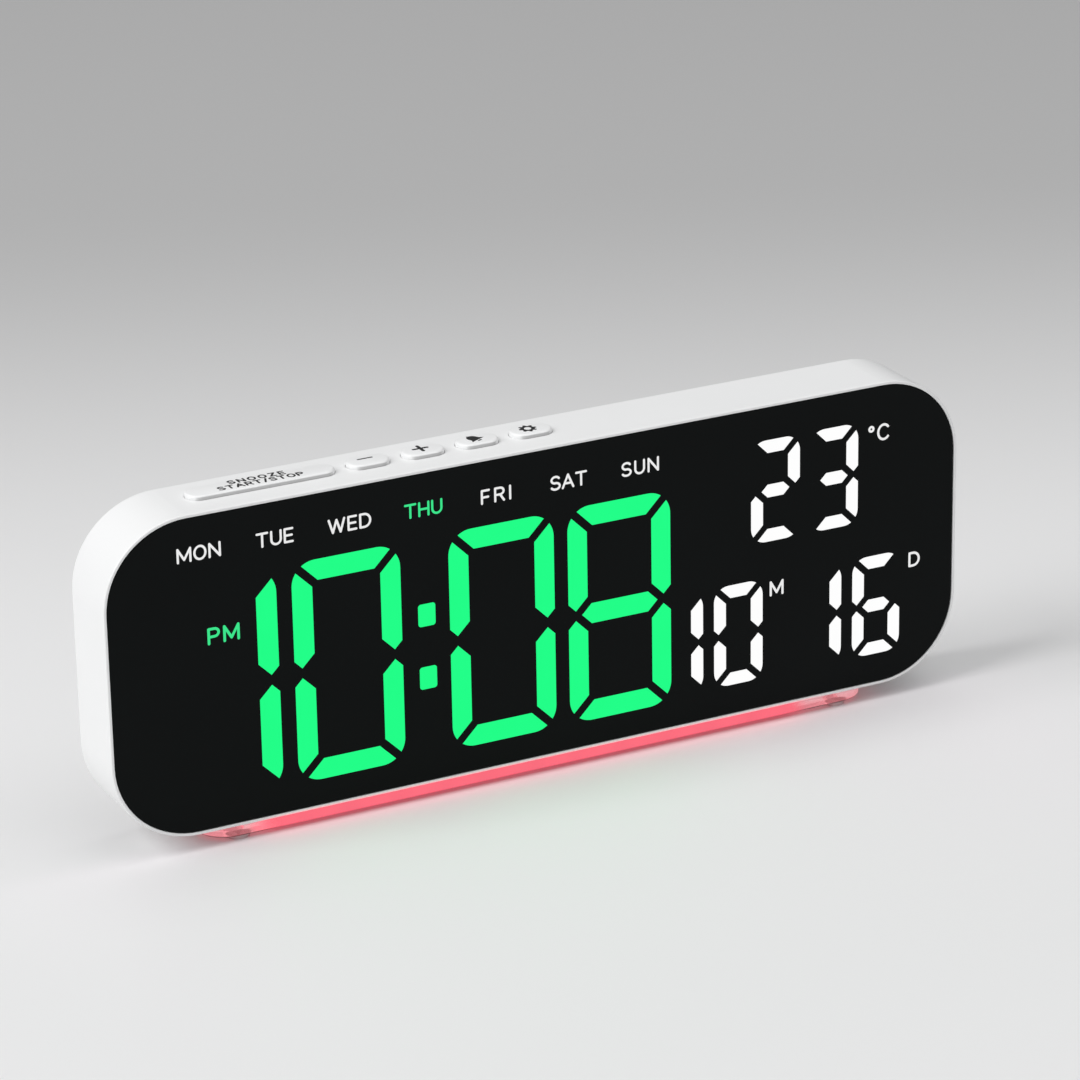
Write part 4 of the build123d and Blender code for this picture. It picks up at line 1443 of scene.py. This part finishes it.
@dataclass
class Display:
    """What the display shows: lit bars and lettering as thin skins on the lens.

    The window and the skins are in metres, the smoothing in degrees, the words in millimetres, and
    the numerals and marks in shares of the window.
    """

    bench: Bench
    lettering: Lettering
    window: Point = (0.1684, 0.0560)
    proud: float = 0.03 * MM
    sunk: float = 0.01 * MM
    smooth: float = 20.0
    mark_reach: float = 0.02
    hour: tuple[Numeral, ...] = tuple(
        Numeral(shows, across, -0.0683, 0.1323, 0.7945)
        for shows, across in zip("1008", (-0.4025, -0.2516, -0.0596, 0.0903)))
    colon: tuple[Point, ...] = ((-0.1543, 0.0502), (-0.1543, -0.1786))
    dates: tuple[Numeral, ...] = tuple(
        Numeral(shows, across, up, 0.0647, 0.3765)
        for shows, across, up in (("2", 0.2951, 0.2506), ("3", 0.3733, 0.2506),
                                  ("1", 0.1664, -0.2613), ("0", 0.2457, -0.2613),
                                  ("1", 0.3518, -0.2613), ("6", 0.4317, -0.2613)))
    white_words: tuple[Word, ...] = (
        Word("MON", -71.7, 58.1, 8.8, 3.0), Word("TUE", -56.5, 58.1, 7.6, 3.0),
        Word("WED", -41.3, 58.1, 8.9, 3.0), Word("FRI", -10.9, 58.1, 6.4, 3.0),
        Word("SAT", 4.5, 58.1, 7.9, 3.0), Word("SUN", 19.9, 58.1, 8.2, 3.0),
        Word("oC", 73.05, 55.25, 4.9, 3.55, 0.50), Word("M", 50.0, 27.2, 3.0, 3.2, 0.50),
        Word("D", 81.5, 27.2, 2.35, 3.2, 0.50))
    green_words: tuple[Word, ...] = (
        Word("THU", -26.1, 58.1, 7.95, 3.0), Word("PM", -67.5, 41.0, 6.5, 3.4, 0.54))

    def build(self) -> None:
        """Makes all that is lit."""
        low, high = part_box("lens")
        front, middle = low.y, (low.z + high.z) / 2
        for name, node, numerals, marks, finish in (
                ("time_lights", "time_segments", self.hour, self.colon, "segment_green"),
                ("date_lights", "date_segments", self.dates, (), "segment_white")):
            piece = self._bars(name, node, numerals, marks, front, middle)
            self.bench.mount(piece, finish, finish)
        for name, words, finish, slot in (
                ("white_lettering", self.white_words, "letter_white", "segment_white"),
                ("green_lettering", self.green_words, "letter_green", "segment_green")):
            drawn = [self.lettering.draw(f"{name}_{i}", word.strokes(), word.thick, Face.FRONT,
                                         front, self.proud) for i, word in enumerate(words)]
            self.bench.mount(self.bench.join(drawn, name), finish, slot)

    def _bars(self, name: str, node: str, numerals: Sequence[Numeral], marks: Sequence[Point],
              front: float, middle: float) -> bpy.types.Object:
        """Lays the outlines of the lit bars on the lens.

        Args:
            name: The piece's name.
            node: The CAD node whose outlines are used.
            numerals: The numerals in it.
            marks: Places of lit marks outside the numerals, in shares of the window.
            front: The lens's face, in metres.
            middle: The window's middle height, in metres.

        Returns:
            The thin lit skins as one mesh.
        """
        piece = self.bench.copy(node, name)
        dark: set[int] = set()
        for low, high, body in self.bench.bodies(piece):
            across = (low.x + high.x) / 2 / self.window[0]
            up = ((low.z + high.z) / 2 - middle) / self.window[1]
            told = [numeral.lights(across, up) for numeral in numerals]
            marked = any(math.dist((across, up), mark) < self.mark_reach for mark in marks)
            if not (marked or any(told)):
                dark |= body
        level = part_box(node)[0].y
        self.bench.choose(piece, faces=lambda f: f.verts[0].index in dark or f.normal.y > -FACING
                          or abs(f.calc_center_median().y - level) > NEAR)
        bpy.ops.mesh.delete(type="FACE")
        bpy.ops.mesh.select_all(action="SELECT")
        bpy.ops.transform.translate(value=(0, front - level + self.sunk, 0))
        bpy.ops.mesh.extrude_region_move(
            TRANSFORM_OT_translate={"value": (0, -self.proud - self.sunk, 0)})
        self.bench.close()
        self.bench.turn_out(piece)
        self.bench.settle(piece, self.smooth)
        return piece


@dataclass
class Keys:
    """The five keys with soft edges, and the print on them. Sizes in millimetres."""

    bench: Bench
    lettering: Lettering
    names: tuple[str, ...] = ("snooze_bar", "minus_key", "plus_key", "alarm_key", "set_key")
    lowered: float = 0.02
    ink_share: float = 0.9
    rim: float = 0.4
    rounding: float = 0.14
    rounding_cuts: int = 3
    sharp: float = 25.0
    smooth: float = 40.0
    shift: Point = (-0.4, 0.4)
    words: tuple[Word, ...] = (Word("SNOOZE", 0.25, 0.06, 11.6, 1.95, 0.42),
                               Word("START/STOP", 0.25, -2.14, 17.4, 1.95, 0.42))
    sign: float = 2.8
    minus: Point = (0.2, 0.4)
    minus_thick: float = 0.5
    plus: Point = (0.2, 0.15)
    plus_thick: float = 0.70
    bell_lean: float = 28.0
    bell_dome: Arc = Arc(0.0, 0.35, 1.12, 1.20, 0.0, 180.0)
    bell_skirt: tuple[Point, ...] = ((-1.15, -0.35), (-1.75, -1.0), (1.75, -1.0), (1.15, -0.35))
    bell_marks: tuple[tuple[Point, Point], ...] = (((-0.35, -1.42), (0.35, -1.42)),
                                                   ((0.0, 1.55), (0.0, 1.62)))
    bell_thick: float = 0.42
    wheel: float = 1.05
    teeth: Point = (1.3, 1.5)
    teeth_step: float = 45.0
    wheel_thick: float = 0.7

    def build(self) -> None:
        """Makes the keys and what is printed on them."""
        for name in self.names:
            low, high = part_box(name)
            self.bench.mount(self._cap(name, high.z), "key_white", "key_white", name, name)
            middle = (low + high) / 2 / MM
            place = (middle.x + self.shift[0], middle.y + self.shift[1])
            print_ = self._print(name, place, high.z - self.lowered * MM)
            self.bench.mount(print_, "legend_ink", "black_resin", name)

    def _cap(self, name: str, top: float) -> bpy.types.Object:
        """Rounds a key's top edge and lowers its top a hair, to take the print.

        Args:
            name: The key.
            top: Its top, in metres.

        Returns:
            The cap.
        """
        piece = self.bench.copy(name, f"{name}_cap")
        self.bench.choose(piece, faces=lambda f: f.normal.z > FACING
                          and f.calc_center_median().z > top - NEAR)
        bpy.ops.transform.translate(value=(0, 0, -self.lowered * MM))
        self.bench.close()
        self.bench.soften(piece, lambda e: min(v.co.z for v in e.verts) > top - self.rim * MM
                          and len(e.link_faces) == 2
                          and e.calc_face_angle(0) > math.radians(self.sharp)
                          and abs(e.verts[0].co.z - e.verts[1].co.z) < LEVEL,
                          self.rounding, self.rounding_cuts)
        self.bench.settle(piece, self.smooth)
        return piece

    def _leant(self, points: Iterable[Point], place: Point) -> list[Point]:
        """Leans the bell over and sets it on its key.

        Args:
            points: Points of the upright bell, from its middle.
            place: The sign's place on the key.

        Returns:
            The points in place.
        """
        turn = math.radians(self.bell_lean)
        return [(place[0] + x * math.cos(turn) - up * math.sin(turn),
                 place[1] + x * math.sin(turn) + up * math.cos(turn)) for x, up in points]

    def _strokes(self, name: str, place: Point) -> tuple[list[list[Point]], float]:
        """The strokes of a key's print.

        Args:
            name: The key.
            place: The middle of its print.

        Returns:
            The strokes' middle lines and their thickness.
        """
        x, y = place
        half = self.sign / 2
        if name == "snooze_bar":
            lines = [line for word in self.words for line in word.strokes()]
            return [[(x + px, y + up) for px, up in line] for line in lines], self.words[0].thick
        if name == "minus_key":
            x, y = x + self.minus[0], y + self.minus[1]
            return [[(x - half, y), (x + half, y)]], self.minus_thick
        if name == "plus_key":
            x, y = x + self.plus[0], y + self.plus[1]
            return [[(x - half, y), (x + half, y)], [(x, y - half), (x, y + half)]], self.plus_thick
        if name == "alarm_key":
            return [self._leant(line, place) for line in self.bell_marks], self.bell_thick
        inner, outer = (Arc(x, y, r, r, 0.0, 360.0 - self.teeth_step, self.teeth_step).points()
                        for r in self.teeth)
        teeth = [list(pair) for pair in zip(inner, outer)]
        return [Arc(x, y, self.wheel, self.wheel).points()] + teeth, self.wheel_thick

    def _print(self, name: str, place: Point, level: float) -> bpy.types.Object:
        """Prints a key's legend or sign.

        Args:
            name: The key.
            place: The middle of its print.
            level: The key's top, in metres.

        Returns:
            The print.
        """
        title, proud = f"{name}_print", self.lowered * MM * self.ink_share
        lines, thick = self._strokes(name, place)
        if name != "alarm_key":
            return self.lettering.draw(title, lines, thick, Face.TOP, level, proud)
        outline = self._leant(self.bell_dome.points() + list(self.bell_skirt), place)
        bell = self.lettering.fill(title, outline, Face.TOP, level, proud)
        marks = self.lettering.draw(title, lines, thick, Face.TOP, level, proud)
        return self.bench.join([bell, marks], title)


@dataclass
class Screws:
    """Screws with softened heads and a cross recess. Sizes in millimetres."""

    bench: Bench
    nodes: tuple[tuple[str, Face], ...] = (("cover_screws", Face.BACK),
                                           ("plate_screws", Face.UNDER))
    arm: float = 2.1
    slot: float = 0.42
    deep: float = 0.55
    taper: Triple = (0.55, 0.7, 1.0)
    rounding: float = 0.06
    rounding_cuts: int = 2
    sharp: float = 50.0
    smooth: float = 35.0

    def build(self) -> None:
        """Makes the cover's and the plate's screws."""
        for node, face in self.nodes:
            piece = self.bench.copy(node, f"{node}_made")
            heads = []
            for low, high, _ in self.bench.bodies(piece):
                head = (low + high) / 2
                head[face.out] = high[face.out] if face.side > 0 else low[face.out]
                heads.append(head)
            for head in heads:
                self.bench.meet(piece, self._cross(head, face), Meeting.CUT)
            self.bench.modify(piece, "BEVEL", width=self.rounding * MM,
                              segments=self.rounding_cuts, limit_method="ANGLE",
                              angle_limit=math.radians(self.sharp))
            self.bench.settle(piece, self.smooth)
            self.bench.mount(piece, "screw_steel", "screw_steel", "clock", node)

    def _cross(self, head: Vector, face: Face) -> bpy.types.Object:
        """Makes the cutter of one cross recess, tapered to its bottom.

        Args:
            head: The middle of the head's face.
            face: The way that the head faces.

        Returns:
            The cutter.
        """
        arms = []
        for turn in (0.0, math.pi / 2):
            arm = self.bench.block("recess_arm")
            self.bench.choose(arm, faces=lambda f: f.normal.z < -FACING)
            bpy.ops.transform.resize(value=self.taper)
            self.bench.close()
            arm.scale = (self.arm * MM, self.slot * MM, 2 * self.deep * MM)
            arm.rotation_euler = (0.0, 0.0, turn)
            self.bench.settle(arm)
            arms.append(arm)
        cutter = arms[0]
        self.bench.meet(cutter, arms[1], Meeting.ADD)
        toward = Vector(face.at(0.0, 0.0, face.side))
        cutter.rotation_euler = toward.to_track_quat("Z", "Y").to_euler()
        cutter.location = head
        self.bench.settle(cutter)
        return cutter


@dataclass
class BackFittings:
    """The battery door's grip, the cell's sign and the inlet's contacts. Sizes in millimetres."""

    bench: Bench
    lettering: Lettering
    grooves: int = 4
    groove: Triple = (9.0, 0.5, 0.7)
    groove_low: float = 3.2
    groove_pitch: float = 1.5
    groove_round: float = 0.34
    groove_cuts: int = 4
    door_smooth: float = 35.0
    ring: float = 8.2
    ring_step: float = 6.0
    plus: float = 1.6
    plus_up: float = 4.2
    sign_thick: float = 0.35
    sign_proud: float = 0.04
    pads: int = 5
    pad: Triple = (0.7, 2.6, 0.05)
    pad_pitch: float = 1.2
    pad_inset: float = 0.5
    pad_thin: float = 0.1
    pad_round: float = 0.015
    pad_cuts: int = 2
    pad_smooth: float = 40.0

    def build(self) -> None:
        """Makes all three."""
        self._door()
        self._cell_sign()
        self._contacts()

    def _door(self) -> None:
        """Cuts grip grooves near the door's lower edge."""
        low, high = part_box("battery_door")
        piece = self.bench.copy("battery_door", "battery_door_made")
        for i in range(self.grooves):
            up = low.z + (self.groove_low + i * self.groove_pitch) * MM
            cutter = self.bench.block("groove_cutter", self.groove,
                                      ((low.x + high.x) / 2, high.y, up))
            self.bench.soften(cutter, lambda e: abs(e.verts[0].co.y - e.verts[1].co.y) > NEAR,
                              self.groove_round, self.groove_cuts)
            self.bench.meet(piece, cutter, Meeting.CUT)
        self.bench.settle(piece, self.door_smooth)
        self.bench.mount(piece, "case_white", "case_white", "battery_door", "battery_door")

    def _cell_sign(self) -> None:
        """Raises a plus sign and a ring on the cell's can."""
        low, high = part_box("backup_cell")
        x, up = (low.x + high.x) / 2 / MM, (low.z + high.z) / 2 / MM
        ring = Arc(x, up, self.ring, self.ring, step=self.ring_step).points()
        middle = up + self.plus_up
        plus = [[(x - self.plus, middle), (x + self.plus, middle)],
                [(x, middle - self.plus), (x, middle + self.plus)]]
        sign = self.lettering.draw("cell_sign", [ring] + plus, self.sign_thick, Face.BACK, high.y,
                                   self.sign_proud * MM)
        self.bench.mount(sign, "screw_steel", "cell_steel")

    def _contacts(self) -> None:
        """Lays gilt contacts on both sides of the inlet's tongue."""
        low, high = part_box("inlet_tongue")
        deep = high.y - (self.pad[1] / 2 + self.pad_inset) * MM
        made = []
        for level in (high.z, low.z):
            for i in range(self.pads):
                across = (low.x + high.x) / 2 + (i - (self.pads - 1) / 2) * self.pad_pitch * MM
                pad = self.bench.block("inlet_pad", self.pad, (across, deep, level))
                self.bench.soften(pad, lambda e: e.calc_length() > self.pad_thin * MM,
                                  self.pad_round, self.pad_cuts)
                made.append(pad)
        piece = self.bench.join(made, "inlet_contacts")
        self.bench.settle(piece, self.pad_smooth)
        self.bench.mount(piece, "contact_gold", "contact_nickel")


# Studio -------------------------------------------------------------------------------------------


@dataclass(frozen=True)
class Softbox:
    """A soft rectangular light, in metres and watts."""

    name: str
    place: Triple
    size: Point
    watts: float
    toward: Triple = (0.0, 0.0, 0.03)

    def build(self) -> None:
        """Adds the light."""
        data = bpy.data.lights.new(self.name, "AREA")
        data.shape = "RECTANGLE"
        data.size, data.size_y = self.size
        data.energy = self.watts
        lamp = Bench.place(self.name, data)
        lamp.location = self.place
        back = Vector(self.place) - Vector(self.toward)
        lamp.rotation_euler = back.to_track_quat("Z", "Y").to_euler()


@dataclass
class Studio:
    """Floor, lights and camera.

    Angles are in degrees, the floor's size and the clip in metres, and the camera's other lengths
    in millimetres.
    """

    bench: Bench
    floor_size: float = 12.0
    floor_cuts: int = 6
    lights: tuple[Softbox, ...] = (
        Softbox("left_softbox", (-2.2, -0.16, 1.75), (1.5, 1.9), 53.0),
        Softbox("overhead_softbox", (0.35, -0.3, 1.65), (1.7, 1.7), 13.0),
        Softbox("front_softbox", (-0.45, -1.35, 0.5), (0.9, 0.6), 1.2))
    sky: Colour = (0.97, 0.97, 0.98)
    sky_strength: float = 0.27
    azimuth: float = -26.688
    elevation: float = 21.168
    roll: float = -1.019
    slide: Point = (1.869, -12.141)
    distance: float = 885.248
    pixels: float = 4628.419
    frame_pixels: float = 1080.0
    sensor: float = 36.0
    target: Triple = (0.0, -8.0, 35.4)
    clip: Point = (0.01, 20.0)

    def build(self) -> None:
        """Makes the floor, the lights and the camera."""
        self._floor()
        self._light()
        self._camera()

    def _floor(self) -> None:
        """Lays a wide plain table top."""
        bpy.ops.object.select_all(action="DESELECT")
        bpy.ops.mesh.primitive_plane_add(size=1.0)
        floor = self.bench.newest("floor")
        floor.scale = (self.floor_size, self.floor_size, 1.0)
        self.bench.settle(floor)
        self.bench.choose(floor, faces=lambda f: True)
        bpy.ops.mesh.subdivide(number_cuts=self.floor_cuts)
        self.bench.close()
        self.bench.paint(floor, "table_top")
        floor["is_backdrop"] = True

    def _light(self) -> None:
        """Sets the softboxes and an even, weak sky."""
        for softbox in self.lights:
            softbox.build()
        world = bpy.data.worlds.new("studio_sky")
        world.use_nodes = True
        sky = world.node_tree.nodes["Background"]
        sky.inputs["Color"].default_value = (*self.sky, 1.0)
        sky.inputs["Strength"].default_value = self.sky_strength
        scene = bpy.context.scene
        scene.world = world
        scene.view_settings.view_transform = "Standard"
        scene.view_settings.look = "None"

    def _camera(self) -> None:
        """Sets the camera at the photograph's place, solved from the case's and lens's edges."""
        a, e, r = (math.radians(v) for v in (self.azimuth, self.elevation, self.roll))
        back = Vector((math.sin(a) * math.cos(e), -math.cos(a) * math.cos(e), math.sin(e)))
        right = Vector((0, 0, 1)).cross(back).normalized()
        up = back.cross(right)
        right, up = (right * math.cos(r) + up * math.sin(r), up * math.cos(r) - right * math.sin(r))
        place = (Vector(self.target) - right * self.slide[0] - up * self.slide[1]
                 + back * self.distance)
        turn = Matrix((right, up, back)).transposed()
        data = bpy.data.cameras.new("photo_camera")
        data.sensor_width = self.sensor
        data.lens = self.pixels / self.frame_pixels * self.sensor
        data.clip_start, data.clip_end = self.clip
        camera = self.bench.place("photo_camera", data)
        camera.matrix_world = Matrix.Translation(place * MM) @ turn.to_4x4()
        bpy.context.scene.camera = camera


def write_sizes(cad: tuple[Vector, Vector]) -> None:
    """Logs the CAD box and the visual model's box.

    Args:
        cad: The CAD box's corners, from straight after the load.
    """
    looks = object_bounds()
    for name, (low, high) in (("cad", cad), ("visual", looks)):
        log.info("%s box: %s to %s mm", name, [round(v / MM, 3) for v in low],
                 [round(v / MM, 3) for v in high])


def main() -> None:
    """Builds the clock's looks in order."""
    logging.basicConfig(level=logging.INFO, format="%(name)s %(message)s")
    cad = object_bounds()
    bench = Bench(Palette())
    lettering = Lettering(bench)
    for part in (Studio(bench), Housing(bench), Display(bench, lettering), Keys(bench, lettering),
                 Screws(bench), BackFittings(bench, lettering)):
        part.build()
        log.info("%s done", type(part).__name__)
    write_sizes(cad)


if __name__ == "__main__":
    main()
